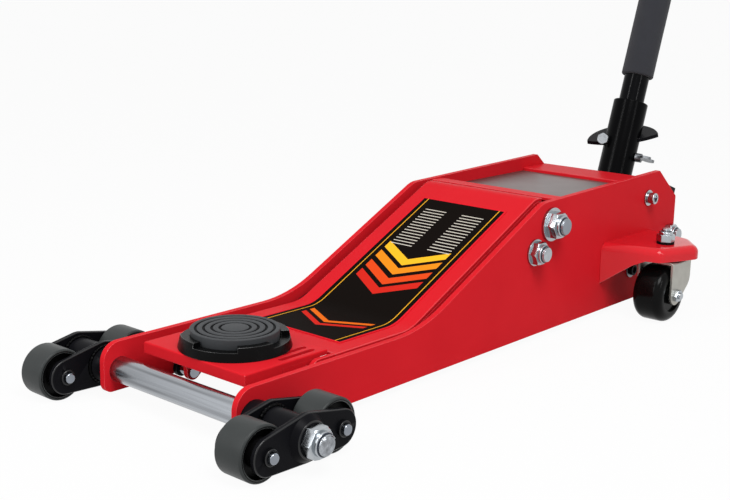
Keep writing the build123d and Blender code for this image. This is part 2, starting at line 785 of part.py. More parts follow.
def roller(sign, way):
    half = roller_width / 2
    wheel = fillet(Cylinder(roller_dia / 2, roller_width).edges(), roller_edge)
    for end in (1, -1):
        dish = Pos(0, 0, end * (half - roller_dish / 2)) * Cylinder(roller_dia / 2 - roller_rim, roller_dish)
        wheel -= dish
    wheel += Cylinder(roller_hub_dia / 2, roller_width + 2 * (roller_side_room - side_gap))
    wheel -= Cylinder(roller_pin_dia / 2 + run_gap, 2 * roller_width)
    return outward(sign, (way * roller_pitch / 2, pin_height), roller_y) * wheel


# The lift arm

def cover_line(drop, front_back, roll):
    """The arm's top line, or one that runs the given depth below it: flat, bend, slope and rolled end."""
    radius = cover_radius - drop
    height = cover_front_height - drop
    tilt = radians(slope_angle)
    crest = (arm_pivot[0] + radius * sin(tilt), arm_pivot[1] + radius * cos(tilt))
    bend = crest[0] + (crest[1] - height) / tan(tilt)
    run = FilletPolyline((-front_back, height), (bend, height), crest, radius=cover_bend_radius + drop)
    edges = list(run.edges())
    if roll > 0:
        edges.append(CenterArc(arm_pivot, radius, 90 - slope_angle, roll).edge())
    return Wire(edges)


def cover_band(upper, lower, front_back, roll):
    """The strip between two such lines."""
    top = cover_line(upper, front_back, roll)
    under = cover_line(lower, front_back, roll)
    closing = [Line(top @ 0, under @ 0).edge(), Line(top @ 1, under @ 1).edge()]
    return make_face(list(top.edges()) + list(under.edges()) + closing)


def lift_arm_cover():
    return across(cover_band(0, cover_thick, cover_front_back, cover_roll), -arm_half_width, arm_half_width)


def lift_arm_walls():
    knuckle = cover_radius - cover_thick
    low = cover_front_height - arm_wall_depth
    stub = Pos(-cover_front_back + weld_lap / 2, (low + cover_front_height) / 2)
    stub *= Rectangle(weld_lap, arm_wall_depth)
    face = cover_band(cover_thick, arm_wall_depth, cover_front_back, 0)
    face += disc(arm_pivot, knuckle)
    face += hull(disc(bracket_pin, arm_nose_radius), stub)
    face -= disc(bracket_pin, bracket_pin_dia / 2 + run_gap)
    face -= disc(arm_pivot, pivot_tube_dia / 2 + run_gap)
    return both_sides(face, arm_half_width - arm_wall_thick, arm_half_width)


def lift_arm_lever():
    """The arm's pivot tube with the two lugs that the ram pushes."""
    lever = rod_y(arm_pivot, pivot_tube_dia, -arm_half_width, arm_half_width)
    face = hull(disc(arm_pivot, lug_top_radius), disc(lug_pin, lug_end_radius))
    face -= disc(lug_pin, lug_pin_dia / 2 + run_gap)
    lever += across(face, lug_inside, lug_inside + lug_thick)
    lever += across(face, -lug_inside - lug_thick, -lug_inside)
    return lever - rod_y(arm_pivot, main_shaft_dia + 2 * run_gap, -plate_in, plate_in)


def lug_pin_piece():
    end = lug_inside + lug_thick + pin_show
    return rod_y(lug_pin, lug_pin_dia, -end, end)


def label_panel():
    tilt = radians(slope_angle)
    whole = cover_band(-label_thick, 0, label_front_back, 0)
    crest_x = arm_pivot[0] + cover_radius * sin(tilt)
    cut = Pos(crest_x, arm_pivot[1] + cover_radius * cos(tilt)) * Rot(Z=-slope_angle) * Rectangle(50, 50)
    return across(whole - cut, -label_half_width, label_half_width)


# Saddle bracket, saddle and levelling links

def saddle_bracket_plate():
    front = -saddle_back + bracket_length / 2
    plate = Pos(-saddle_back, 0, bracket_top - bracket_thick / 2)
    plate *= Box(bracket_length, 2 * bracket_half_width, bracket_thick)
    plate += Pos(front - bracket_thick / 2, 0, bracket_top - bracket_lip / 2) * Box(
        bracket_thick, 2 * bracket_half_width, bracket_lip)
    lip_rear = link_pin[0] + bracket_pin_dia / 2 + eye_wall + side_gap
    for sign in side.values():
        lip = Box(front - lip_rear, bracket_thick, bracket_lip)
        middle = sign * (bracket_half_width - bracket_thick / 2)
        plate += Pos((front + lip_rear) / 2, middle, bracket_top - bracket_lip / 2) * lip
    plate = fillet(plate.edges().group_by(Axis.Z)[-1], bracket_edge)
    under = bracket_top - bracket_thick
    plate += rod_z(-saddle_back, 0, bracket_boss_dia, bracket_top - bracket_boss_depth, under)
    plate -= rod_z(-saddle_back, 0, saddle_stem_dia + 2 * run_gap, 0, 2 * bracket_top)
    for sign in side.values():
        for row in range(2):
            y = sign * (bracket_half_width - slot_inset - row * slot_pitch)
            length = slot_length - row * slot_pitch
            slot = extrude(SlotOverall(length, slot_width), amount=4 * bracket_thick, both=True)
            plate -= Pos(front - bracket_length + slot_inset + length / 2, y, bracket_top) * slot
    return plate


def saddle_bracket_ears():
    eye = bracket_pin_dia / 2 + eye_wall
    under = bracket_top - bracket_thick
    cap = Rectangle(link_pin[0] - bracket_pin[0] + 2 * eye, 2 * weld_lap)
    cap = Pos((bracket_pin[0] + link_pin[0]) / 2, under - weld_lap) * cap
    face = hull(disc(bracket_pin, eye), disc(link_pin, eye - 1), cap)
    face -= disc(bracket_pin, bracket_pin_dia / 2 + run_gap)
    face -= disc(link_pin, bracket_pin_dia / 2 + run_gap)
    return both_sides(face, ear_out - bracket_ear_thick, ear_out)


def bracket_pins():
    """The long pin through the arm, and the two short ones that the links turn on."""
    inner = ear_out - bracket_ear_thick - pin_show
    length = link_out + pin_show - inner
    short = Pos(0, 0, length / 2) * Cylinder(bracket_pin_dia / 2, length)
    long = rod_y(bracket_pin, bracket_pin_dia, -arm_half_width - pin_show, arm_half_width + pin_show)
    return Compound([long] + [outward(sign, link_pin, inner) * short for sign in side.values()])


def saddle_cup():
    low = bracket_top + side_gap
    floor_top = low + saddle_floor
    rim_top = low + saddle_rim_height
    lug_top = rim_top + saddle_lug_height
    well = saddle_pad_dia / 2 + side_gap
    body = Cone(saddle_cup_dia / 2, saddle_rim_dia / 2, lug_top - low)
    cup = Pos(0, 0, (low + lug_top) / 2) * body
    cup -= rod_z(0, 0, 2 * well, floor_top, 2 * lug_top)
    gap_angle = 360 / saddle_lug_count - saddle_lug_angle
    for i in range(saddle_lug_count):
        turn = i * 360 / saddle_lug_count + saddle_lug_angle / 2 - saddle_lug_turn
        wedge = Polyline((0, 0), Vector(saddle_cup_dia, 0), Vector(saddle_cup_dia, 0).rotate(Axis.Z, gap_angle),
                         close=True)
        notch = Pos(0, 0, rim_top) * extrude(make_face(wedge), amount=2 * saddle_lug_height)
        cup -= Rot(Z=turn) * notch
    stem_low = bracket_top - bracket_boss_depth - saddle_stem_show
    cup += rod_z(0, 0, saddle_stem_dia, stem_low, low + weld_lap)
    return Pos(-saddle_back, 0, 0) * cup


def saddle_pad():
    low = bracket_top + side_gap + saddle_floor
    pad = rod_z(0, 0, saddle_pad_dia, low, saddle_top)
    pad = fillet(pad.edges().group_by(Axis.Z)[-1], saddle_pad_step / 2)
    for ring in range(pad_rings):
        outer = saddle_pad_dia / 2 - pad_border - ring * pad_ring_pitch
        groove = Cylinder(outer, pad_groove_depth) - Cylinder(outer - pad_groove_width, pad_groove_depth)
        pad -= Pos(0, 0, saddle_top - pad_groove_depth / 2) * groove
    return Pos(-saddle_back, 0, 0) * pad


def levelling_links():
    """Two dog-legged bars that keep the saddle level."""
    elbow = disc((-link_elbow_back, link_elbow_height), link_width / 2)
    face = hull(disc(link_pivot, link_width / 2 + link_eye), elbow)
    face += hull(elbow, disc(link_pin, link_width / 2))
    face -= disc(link_pivot, link_pivot_dia / 2 + run_gap)
    face -= disc(link_pin, bracket_pin_dia / 2 + run_gap)
    return both_sides(face, link_in, link_out)


# The hydraulic power unit

def stem_plane(distance):
    """A plane square to the release stem, the given distance from the handle pivot, facing down the stem."""
    place = (pivot[0] + distance * release_way[0], 0, pivot[1] + distance * release_way[1])
    return Plane(origin=place, x_dir=(0, 1, 0), z_dir=(release_way[0], 0, release_way[1])).location


def along_stem(dia, start, end):
    """A round bar on the release stem's axis, between two distances from the handle pivot."""
    return stem_plane((start + end) / 2) * Cylinder(dia / 2, end - start)


def pump_block():
    middle = (block_rear + block_front) / 2
    block = Box(block_length, 2 * block_half_width, block_top - block_bottom)
    block = fillet(block.edges().filter_by(Axis.X), block_edge)
    block = Pos(middle, 0, (block_top + block_bottom) / 2) * block
    bar_low = unit_screw_height - cross_bar_height / 2
    rib_height = bar_low - block_top + block_edge
    rib = Box(cross_bar_length, cross_bar_rib, rib_height)
    block += Pos(-unit_screw_back, 0, bar_low - rib_height / 2) * rib
    block += Pos(-unit_screw_back, 0, unit_screw_height) * Box(cross_bar_length, plate_gap, cross_bar_height)
    block += along_stem(release_boss_dia, release_boss_start, release_stem_depth + release_boss_end)
    block -= Pos(middle, 0, block_bottom / 2) * Box(2 * block_length, 2 * block_half_width, block_bottom)
    block -= along_stem(release_stem_dia + 2 * run_gap, 0, release_stem_depth + release_end_room)
    stroke = pump_lever * 2 * sin(radians(pump_lever_back))
    plunger_end = plunger_face + plunger_head + plunger_length + stroke + plunger_end_room
    block -= rod_x(block_rear, plunger_end, pump_offset, plunger_height, plunger_dia + 2 * run_gap)
    block -= rod_x(block_rear, block_rear + gland_depth, pump_offset, plunger_height, gland_dia + 2 * run_gap)
    screw_end = plate_in - unit_screw_depth - plunger_end_room
    for sign in side.values():
        stud_end = block_front + spring_stud_length
        block += rod_x(block_front - weld_lap, stud_end, sign * spring_offset, ram_height, stud_dia())
        boss_length = plate_in - block_half_width + block_edge
        boss = Pos(0, 0, boss_length / 2) * Cylinder(low_boss_dia / 2, boss_length)
        block += outward(sign, low_screw, plate_in - boss_length) * boss
        hole_length = plate_in - screw_end
        hole = Pos(0, 0, hole_length / 2) * Cylinder(unit_screw_dia / 2 + run_gap, hole_length)
        block -= outward(sign, unit_screw, screw_end) * hole
        block -= outward(sign, low_screw, screw_end) * hole
    return block


def stud_dia():
    """The return springs are hooked on studs that just fit inside their turns."""
    return 2 * spring_radius - spring_wire - 2 * side_gap


def reservoir_tube():
    tube = rod_x(block_front, reservoir_front, 0, ram_height, reservoir_dia)
    tube -= rod_x(block_front, reservoir_front, 0, ram_height, reservoir_dia - 2 * reservoir_wall)
    return tube - rod_z(filler_x(), 0, filler_plug_dia + 2 * run_gap, ram_height, ram_height + reservoir_dia)


def filler_x():
    """The oil filler is half-way along the reservoir."""
    return (block_front + reservoir_front) / 2


def cylinder_tube():
    bore = piston_dia + 2 * run_gap
    tube = rod_x(block_front, reservoir_front, 0, ram_height, bore + 2 * cylinder_wall)
    return tube - rod_x(block_front, reservoir_front, 0, ram_height, bore)


def cylinder_cap():
    cap = rod_x(reservoir_front, cap_front, 0, ram_height, reservoir_dia)
    cap = chamfer(cap.edges().group_by(Axis.X)[-1], cap_chamfer)
    return cap - rod_x(reservoir_front, cap_front, 0, ram_height, ram_dia + 2 * run_gap)


def ram():
    piston_rear = block_front + piston_rest
    piston = rod_x(piston_rear, piston_rear + piston_length, 0, ram_height, piston_dia)
    start = piston_rear + (piston_length - seal_width) / 2
    groove = rod_x(start, start + seal_width, 0, ram_height, piston_dia + 1)
    groove -= rod_x(start, start + seal_width, 0, ram_height, piston_dia - 2 * seal_depth)
    return piston - groove + rod_x(piston_rear, crosshead_rear, 0, ram_height, ram_dia)


def piston_seal():
    middle = block_front + piston_rest + piston_length / 2
    start = middle - seal_width / 2
    ring = rod_x(start, start + seal_width, 0, ram_height, piston_dia)
    return ring - rod_x(start, start + seal_width, 0, ram_height, piston_dia - 2 * seal_depth)


def crosshead():
    front = lug_pin[0] + crosshead_front
    length = front - crosshead_rear
    block = Box(length, 2 * crosshead_half_width, crosshead_height)
    block = fillet(block.edges().filter_by(Axis.Y), crosshead_edge)
    block = Pos(crosshead_rear + length / 2, 0, ram_height) * block
    bar = Box(spring_bar_thick, 2 * spring_bar_wing, spring_bar_height)
    block += Pos(crosshead_rear + spring_bar_thick / 2, 0, ram_height) * bar
    dip = lug_length * (1 - cos(radians(lug_angle)))
    width = lug_pin_dia + 2 * slot_slack
    slot = SlotOverall(dip + width + 2 * slot_slack, width, rotation=90)
    slot = Pos(lug_pin[0], lug_pin[1] - dip / 2) * slot
    block -= across(slot, -2 * crosshead_half_width, 2 * crosshead_half_width)
    for sign in side.values():
        stud_start = crosshead_rear - spring_stud_length
        block += rod_x(stud_start, crosshead_rear + weld_lap, sign * spring_offset, ram_height, stud_dia())
    return block


def return_springs():
    spring = coil(spring_radius, spring_wire, block_front + side_gap, crosshead_rear - side_gap, spring_turns)
    return Compound([Pos(0, sign * spring_offset, ram_height) * spring for sign in side.values()])


def pump_fittings():
    """The glands that the plunger and the release stem slide in, and the oil filler's plug."""
    start = block_rear - gland_proud
    end = block_rear + gland_depth
    round_gland = rod_x(start, end, pump_offset, plunger_height, gland_dia)
    round_gland -= rod_x(start, end, pump_offset, plunger_height, plunger_dia + 2 * run_gap)
    hex_gland = hex_head(release_gland_across, release_gland_height)
    hex_gland -= Cylinder(release_stem_dia / 2 + run_gap, 4 * release_gland_height)
    hex_gland = stem_plane(release_boss_start - release_gland_height) * hex_gland
    top = ram_height + reservoir_dia / 2 + filler_neck
    plug = rod_z(filler_x(), 0, filler_plug_dia, top - filler_neck - reservoir_wall, top)
    plug += rod_z(filler_x(), 0, filler_head_dia, top, top + filler_head)
    return Compound([round_gland, hex_gland, plug])


def plunger():
    neck = plunger_face + plunger_head
    head = rod_x(plunger_face, neck, pump_offset, plunger_height, plunger_head_dia)
    return head + rod_x(neck, neck + plunger_length, pump_offset, plunger_height, plunger_dia)


def plunger_spring():
    start = plunger_face + plunger_head + side_gap
    end = block_rear - gland_proud - side_gap
    spring = coil(plunger_spring_radius, plunger_spring_wire, start, end, plunger_spring_turns)
    return Pos(0, pump_offset, plunger_height) * spring


def release_stem():
    reach = handle_tube_dia / 2 - release_pin_inset
    stem = along_stem(release_stem_dia, -release_stem_dia / 2, release_stem_depth)
    return stem + rod_y(pivot, release_pin_dia, -reach, reach)


# Yoke, socket, handle and their fittings

def yoke_arm(sign):
    """A cheek on the handle pivot and the bar that joins it to the socket."""
    middle = yoke_bar_start + yoke_bar_length / 2
    outer = plate_in - cheek_inset
    inner = outer - cheek_thick
    head = Pos(*pivot) * Rot(Z=handle_lean) * Pos(0, middle) * Rectangle(yoke_bar_thick, yoke_bar_length)
    cheek = across(hull(disc(pivot, cheek_radius), head), inner, outer)
    cheek -= rod_y(pivot, handle_pivot_dia + 2 * run_gap, 0, 2 * outer)
    arm = cheek + across(head, 0, inner)
    arm -= handle_frame * Cylinder(socket_dia / 2 + run_gap, 4 * socket_end)
    return arm if sign > 0 else mirror(arm, Plane.XZ)


def yoke_arms():
    """The left arm also carries the lever that works the pump, with the pin of its roller."""
    return Compound([yoke_arm(1) + pump_lever_arm(), yoke_arm(-1)])


def pump_lever_arm():
    y_out = pump_offset - pump_roller_width / 2 - side_gap
    y_in = y_out - pump_lever_thick
    y_end = pump_offset + pump_roller_width / 2 + side_gap
    foot = Pos(0, yoke_bar_start + weld_lap) * Rectangle(yoke_bar_thick, 2 * weld_lap)
    foot = Pos(*pivot) * Rot(Z=handle_lean) * foot
    lever = across(hull(disc(pump_roller_at, pump_lever_end_dia / 2), foot), y_in, y_out)
    return lever + rod_y(pump_roller_at, pump_roller_pin_dia, y_in, y_end)


def handle_socket():
    length = socket_end - socket_start
    tube = Pos(0, 0, socket_start + length / 2) * Cylinder(socket_dia / 2, length)
    tube = fillet(tube.edges().group_by(Axis.Z)[-1], socket_edge)
    tube -= Pos(0, 0, socket_start + length / 2) * Cylinder(handle_tube_dia / 2 + run_gap, length)
    screw = Pos(0, socket_dia / 2, wing_screw_place) * Rot(X=90)
    tube -= Rot(Z=fitting_yaw) * screw * Cylinder(wing_screw_dia / 2 + run_gap, socket_dia / 2)
    tube = handle_frame * tube
    return tube - bolt_place() * Cylinder(retaining_bolt_dia / 2 + run_gap, 2 * socket_dia)


def bolt_place():
    """Where the retaining bolt lies: it points to the front, beside the middle of the socket."""
    return fitting_frame * Pos(0, -retaining_bolt_offset, retaining_bolt_place) * Rot(Y=90)


def retaining_bolt():
    """A bolt that crosses the socket's wall and runs in the handle's groove."""
    corner = retaining_bolt_across / 2 / cos(radians(30))
    seat = (socket_dia ** 2 / 4 - (retaining_bolt_offset - corner) ** 2) ** 0.5 + run_gap
    rear = (socket_dia ** 2 / 4 - (retaining_bolt_offset - retaining_bolt_dia / 2) ** 2) ** 0.5
    bolt = Pos(0, 0, (seat - rear) / 2) * Cylinder(retaining_bolt_dia / 2, seat + rear)
    bolt += Pos(0, 0, seat) * hex_head(retaining_bolt_across, retaining_bolt_head)
    return bolt_place() * bolt


def foot_pedal():
    slope = radians(pedal_slope)
    x = pivot[0] - pedal_centre * sin(lean)
    z = pivot[1] + pedal_centre * cos(lean)
    tips = ((-pedal_half_length, 0), (pedal_half_length, 0))
    outline = [ThreePointArc(tips[0], (0, pedal_rear), tips[1]).edge(),
               ThreePointArc(tips[1], (0, -pedal_front), tips[0]).edge()]
    leaf = extrude(Rot(Z=pedal_turn) * make_face(outline), amount=pedal_thick / 2, both=True)
    plane = Plane(origin=(x, 0, z), x_dir=(0, 1, 0), z_dir=(sin(slope), 0, cos(slope)))
    barrel = handle_frame * Cylinder(socket_dia / 2 + run_gap, 4 * socket_end)
    notch = bolt_place() * Cylinder(retaining_bolt_dia / 2 + side_gap, 2 * socket_dia)
    return plane * leaf - barrel - notch


def wing_screw():
    tip = handle_tube_dia / 2 + side_gap
    start = socket_dia / 2 + side_gap
    screw = Pos(0, 0, (tip + start + wing_boss_length) / 2)
    screw *= Cylinder(wing_screw_dia / 2, start + wing_boss_length - tip)
    boss_top = start + wing_boss_length
    screw += Pos(0, 0, start + wing_boss_length / 2) * Cylinder(wing_boss_dia / 2, wing_boss_length)
    root = Pos(0, start + wing_boss_length / 2) * Circle(wing_thick)
    out = wing_span / 2 - wing_ear_radius
    up = boss_top + wing_height - wing_ear_radius
    ear = Circle(wing_ear_radius)
    blade = hull(Pos(-out, up) * ear, root) + hull(Pos(out, up) * ear, root)
    screw += extrude(Plane.XZ * blade, amount=wing_thick / 2, both=True)
    place = Pos(0, 0, wing_screw_place) * Rot(X=-90)
    return fitting_frame * place * screw


def handle_tube():
    length = handle_length - plug_thick + handle_tail
    middle = (handle_length - plug_thick - handle_tail) / 2
    tube = Pos(0, 0, middle) * Cylinder(handle_tube_dia / 2, length)
    tube -= Pos(0, 0, middle) * Cylinder(handle_tube_dia / 2 - handle_tube_wall, length)
    band = Cylinder(handle_tube_dia, groove_width)
    band -= Cylinder(handle_tube_dia / 2 - groove_depth, groove_width)
    tube -= Pos(0, 0, retaining_bolt_place) * band
    slot_middle = handle_slot_depth / 2 - handle_tail
    tube -= Pos(0, 0, slot_middle) * Box(handle_slot_width, 2 * handle_tube_dia, handle_slot_depth)
    return handle_frame * tube


def foam_sleeve():
    sleeve = Cylinder(foam_dia / 2, foam_length) - Cylinder(handle_tube_dia / 2 + run_gap, foam_length)
    return handle_frame * (Pos(0, 0, foam_start + foam_length / 2) * sleeve)


def end_plug():
    cap = Pos(0, 0, handle_length - plug_thick / 2) * Cylinder(handle_tube_dia / 2, plug_thick)
    cap = fillet(cap.edges().group_by(Axis.Z)[-1], plug_thick / 3)
    spigot = Cylinder(handle_tube_dia / 2 - handle_tube_wall - run_gap, plug_depth)
    cap += Pos(0, 0, handle_length - plug_thick - plug_depth / 2) * spigot
    return handle_frame * cap


def pump_roller():
    inner = pump_offset - pump_roller_width / 2
    outer = pump_offset + pump_roller_width / 2
    wheel = rod_y(pump_roller_at, pump_roller_dia, inner, outer)
    return wheel - rod_y(pump_roller_at, pump_roller_pin_dia + 2 * run_gap, inner, outer)


# Every piece, by the name of its node

pieces = {
    "front_axle": front_axle(),
    "main_pivot_shaft": main_pivot_shaft(),
    "frame_bolts": frame_bolts(),
    "frame_lock_nuts": frame_lock_nuts(),
    "frame_washers": frame_washers(),
    "front_cross_bar": front_cross_bar(),
    "tray_panel": tray_panel(),
    "rear_ledge": rear_ledge(),
    "caster_kingpins": caster_kingpins(),
    "pump_block": pump_block(),
    "reservoir_tube": reservoir_tube(),
    "cylinder_tube": cylinder_tube(),
    "cylinder_cap": cylinder_cap(),
    "pump_fittings": pump_fittings(),
    "lift_arm_cover": lift_arm_cover(),
    "lift_arm_walls": lift_arm_walls(),
    "lift_arm_lever": lift_arm_lever(),
    "lug_pin": lug_pin_piece(),
    "label_panel": label_panel(),
    "saddle_bracket_plate": saddle_bracket_plate(),
    "saddle_bracket_ears": saddle_bracket_ears(),
    "bracket_pins": bracket_pins(),
    "saddle_cup": saddle_cup(),
    "saddle_pad": saddle_pad(),
    "levelling_links": levelling_links(),
    "ram": ram(),
    "piston_seal": piston_seal(),
    "crosshead": crosshead(),
    "return_springs": return_springs(),
    "plunger": plunger(),
    "plunger_spring": plunger_spring(),
    "release_stem": release_stem(),
    "yoke_arms": yoke_arms(),
    "handle_socket": handle_socket(),
    "retaining_bolt": retaining_bolt(),
    "foot_pedal": foot_pedal(),
    "wing_screw": wing_screw(),
    "handle_tube": handle_tube(),
    "foam_sleeve": foam_sleeve(),
    "end_plug": end_plug(),
    "pump_roller": pump_roller(),
}
for hand, sign in side.items():
    pieces["side_plate_" + hand] = side_plate(sign)
    pieces["outrigger_" + hand] = outrigger(sign)
    pieces["caster_fork_" + hand] = caster_fork(sign)
    pieces["caster_wheel_" + hand] = caster_wheel(sign)
    pieces["caster_axle_" + hand] = caster_axle(sign)
    pieces["bogie_" + hand] = bogie(sign)
    pieces["roller_pins_" + hand] = roller_pins(sign)
    for end, way in ends.items():
        pieces["roller_" + hand + "_" + end] = roller(sign, way)

os.makedirs("parts", exist_ok=True)
for name, piece in pieces.items():
    export_step(to_middle * piece, os.path.join("parts", name + ".step"))
print(len(pieces), "pieces saved")
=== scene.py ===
# %% [markdown]
# # A low trolley jack, dressed in Blender
# The solid model already has every plate, bolt and wheel in its right place. This lesson gives those
# solids the surfaces of the real thing: thick red paint, black paint, zinc plate, cast iron, rubber and
# foam. It also adds what is too small for the solid model, such as weld beads and screw threads.

# %% Load the solid model
import json
import math

import bmesh
import bpy
from mathutils import Matrix, Vector, noise


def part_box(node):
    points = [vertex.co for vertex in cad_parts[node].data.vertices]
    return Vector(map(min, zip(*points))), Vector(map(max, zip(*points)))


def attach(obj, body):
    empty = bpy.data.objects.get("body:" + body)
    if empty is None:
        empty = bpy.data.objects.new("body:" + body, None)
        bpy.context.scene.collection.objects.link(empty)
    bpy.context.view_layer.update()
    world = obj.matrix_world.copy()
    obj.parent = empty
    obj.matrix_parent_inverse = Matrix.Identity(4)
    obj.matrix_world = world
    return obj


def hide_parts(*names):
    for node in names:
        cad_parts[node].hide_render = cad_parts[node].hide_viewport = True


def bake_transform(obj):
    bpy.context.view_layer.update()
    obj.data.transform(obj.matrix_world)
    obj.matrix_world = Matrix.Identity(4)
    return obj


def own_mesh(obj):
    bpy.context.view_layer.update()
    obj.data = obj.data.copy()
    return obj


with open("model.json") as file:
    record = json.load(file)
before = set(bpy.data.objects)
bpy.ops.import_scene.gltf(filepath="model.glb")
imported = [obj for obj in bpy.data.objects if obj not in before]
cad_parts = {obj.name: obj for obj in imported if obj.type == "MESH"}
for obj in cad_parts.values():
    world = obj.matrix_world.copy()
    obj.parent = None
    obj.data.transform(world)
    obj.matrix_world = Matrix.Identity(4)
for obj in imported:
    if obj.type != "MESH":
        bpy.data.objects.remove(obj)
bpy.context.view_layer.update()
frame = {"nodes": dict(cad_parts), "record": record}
MM = 0.001

# %% [markdown]
# ## One ruler for everything
# All the sizes of the jack were measured from its front axle, so it helps to keep that habit here: a
# place is given in millimetres from the axle (X forward, Y to the left, Z up from the floor) and one
# function turns it into the scene's metres. What comes in pairs is made for +Y and for -Y.

# %% A ruler that starts at the front axle
axle_low, axle_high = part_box("front_axle")
AXLE_X = (axle_low.x + axle_high.x) / 2
SIDES = (("left", 1), ("right", -1))


def at(x, y, z):
    """A place in millimetres from the front axle, as a point of the scene."""
    return Vector((AXLE_X + x * MM, y * MM, z * MM))


def ruler(point):
    """The other way round: a point of the scene in millimetres from the front axle."""
    return Vector(((point[0] - AXLE_X) / MM, point[1] / MM, point[2] / MM))


print("front axle at X =", round(AXLE_X, 4))

# %% [markdown]
# ## Camera
# The view is from the front left, a little above the saddle, with a fairly long lens. A Track To
# constraint could aim the camera, but it can't tilt the horizon. So the turn is built from three unit
# vectors: where the camera looks, what is to its right, and what is up.

# %% Camera
def placed(name, data):
    """A new object with its data, put in the scene."""
    thing = bpy.data.objects.new(name, data)
    bpy.context.scene.collection.objects.link(thing)
    return thing


PICTURE_WIDE, PICTURE_HIGH = 730, 500   # in pixels
FOCAL = 1191.943                        # in the same pixels
CENTRE = (366.014, 238.751)             # the pixel that the lens points at
EYE = (659.592, 799.744, 401.891)
LOOK_TURN = -2.4205918                  # radians round Z
LOOK_DOWN = -0.2198088
LOOK_ROLL = 0.0183056
SENSOR = 36                             # millimetres

ahead = Vector((math.cos(LOOK_TURN) * math.cos(LOOK_DOWN), math.sin(LOOK_TURN) * math.cos(LOOK_DOWN),
                math.sin(LOOK_DOWN)))
level = Vector((math.sin(LOOK_TURN), -math.cos(LOOK_TURN), 0))
upward = level.cross(ahead)
right = math.cos(LOOK_ROLL) * level + math.sin(LOOK_ROLL) * upward
top = -math.sin(LOOK_ROLL) * level + math.cos(LOOK_ROLL) * upward

lens = bpy.data.cameras.new("camera")
lens.sensor_width = SENSOR
lens.lens = FOCAL / PICTURE_WIDE * SENSOR
lens.shift_x = -(CENTRE[0] - PICTURE_WIDE / 2) / PICTURE_WIDE
lens.shift_y = (CENTRE[1] - PICTURE_HIGH / 2) / PICTURE_WIDE
lens.clip_start = 0.05
lens.clip_end = 200
camera = placed("camera", lens)
turn = Matrix((right, top, -ahead)).transposed().to_4x4()
camera.matrix_world = Matrix.Translation(at(*EYE)) @ turn
bpy.context.scene.camera = camera
print("camera at", [round(c, 3) for c in at(*EYE)], "with a lens of", round(lens.lens, 1), "mm")

# %% [markdown]
# ## Helpers for materials
# Colours are written as the hex codes that a paint chart uses. Blender works in linear light, so one
# function converts them. A second function adds a node, sets its values and links it, which keeps each
# material short enough to read at a glance. The third starts a material and prints its name, the fourth
# gives the scale of a pattern from its real size, and the last does what the finishes of this jack share.

# %% Helpers for materials
def linear(code):
    """An sRGB hex colour as the linear RGBA that Blender uses."""
    parts = [int(code[i:i + 2], 16) / 255 for i in (1, 3, 5)]
    return tuple(p / 12.92 if p <= 0.04045 else ((p + 0.055) / 1.055) ** 2.4 for p in parts) + (1.0,)


def add(tree, kind, inputs=None, **settings):
    """A new node with its settings; inputs take either a plain value or another node's output."""
    node = tree.nodes.new(kind)
    for key, value in settings.items():
        setattr(node, key, value)
    for key, value in (inputs or {}).items():
        if isinstance(value, bpy.types.NodeSocket):
            tree.links.new(value, node.inputs[key])
        else:
            node.inputs[key].default_value = value
    return node


def start(name, base, **sockets):
    """A material with its main shader set up, and the tree and shader to build on."""
    material = bpy.data.materials.new(name)
    material.use_nodes = True
    shader = material.node_tree.nodes["Principled BSDF"]
    shader.inputs["Base Color"].default_value = linear(base)
    for key, value in sockets.items():
        shader.inputs[key.replace("_", " ")].default_value = value
    print("material", name)
    return material, material.node_tree, shader


def per(size):
    """The scale of a texture whose features are the given number of millimetres across."""
    return 1 / (size * MM)


def textured(tree, shader, cloud, roughs, relief, strength, depth, shades=None):
    """A slow cloud moves gloss and shade, and a fine relief of a depth in millimetres bends the light."""
    thick, height = cloud.outputs["Fac"], relief.outputs["Fac"]
    gloss = add(tree, "ShaderNodeMapRange", {"Value": thick, "To Min": roughs[0], "To Max": roughs[1]})
    tree.links.new(gloss.outputs["Result"], shader.inputs["Roughness"])
    if shades:
        dark, light = (linear(code) for code in shades)
        shade = add(tree, "ShaderNodeMix", {"Factor": thick, "A": dark, "B": light}, data_type="RGBA")
        tree.links.new(shade.outputs["Result"], shader.inputs["Base Color"])
    bumps = add(tree, "ShaderNodeBump", {"Height": height, "Strength": strength, "Distance": depth * MM})
    tree.links.new(bumps.outputs["Normal"], shader.inputs["Normal"])


print("helpers ready")

# %% [markdown]
# ## Red paint
# Jacks are powder coated: a thick skin baked on, with a faint orange-peel ripple two or three millimetres
# across and slow changes in gloss where the powder lay thicker. One flat red would look like plastic, so
# noise moves the colour, the gloss and the surface a little. The reflection is low on the flats, because
# in a bright room a strong one turns red into pink.

# %% Red powder coat
POWDER_CLOUD, ORANGE_PEEL, PEEL_DEPTH = 70, 2.4, 0.15       # in millimetres
PEEL_STRENGTH = 0.10


def powder_coat(name, dark, light, rough_low, rough_high, reflection):
    """Red powder coat: slow changes of colour and gloss, and a fine orange-peel ripple."""
    material, tree, shader = start(name, light, Specular_IOR_Level=reflection)
    place = add(tree, "ShaderNodeTexCoord").outputs["Object"]
    cloud = add(tree, "ShaderNodeTexNoise", {"Vector": place, "Scale": per(POWDER_CLOUD), "Detail": 3.0})
    peel = add(tree, "ShaderNodeTexNoise", {"Vector": place, "Scale": per(ORANGE_PEEL), "Detail": 1.0})
    textured(tree, shader, cloud, (rough_low, rough_high), peel, PEEL_STRENGTH, PEEL_DEPTH, (dark, light))
    return material


# flat plates: an even, strong red with hardly any glare
red_paint = powder_coat("red_powder_coat", "#c21a23", "#d0212a", 0.32, 0.44, 0.02)
# rounded edges: a lighter, glossier red, a painted highlight along every plate
red_edge_highlight = powder_coat("red_powder_coat_edge_highlight", "#cb202a", "#d82a34", 0.16, 0.24, 0.42)
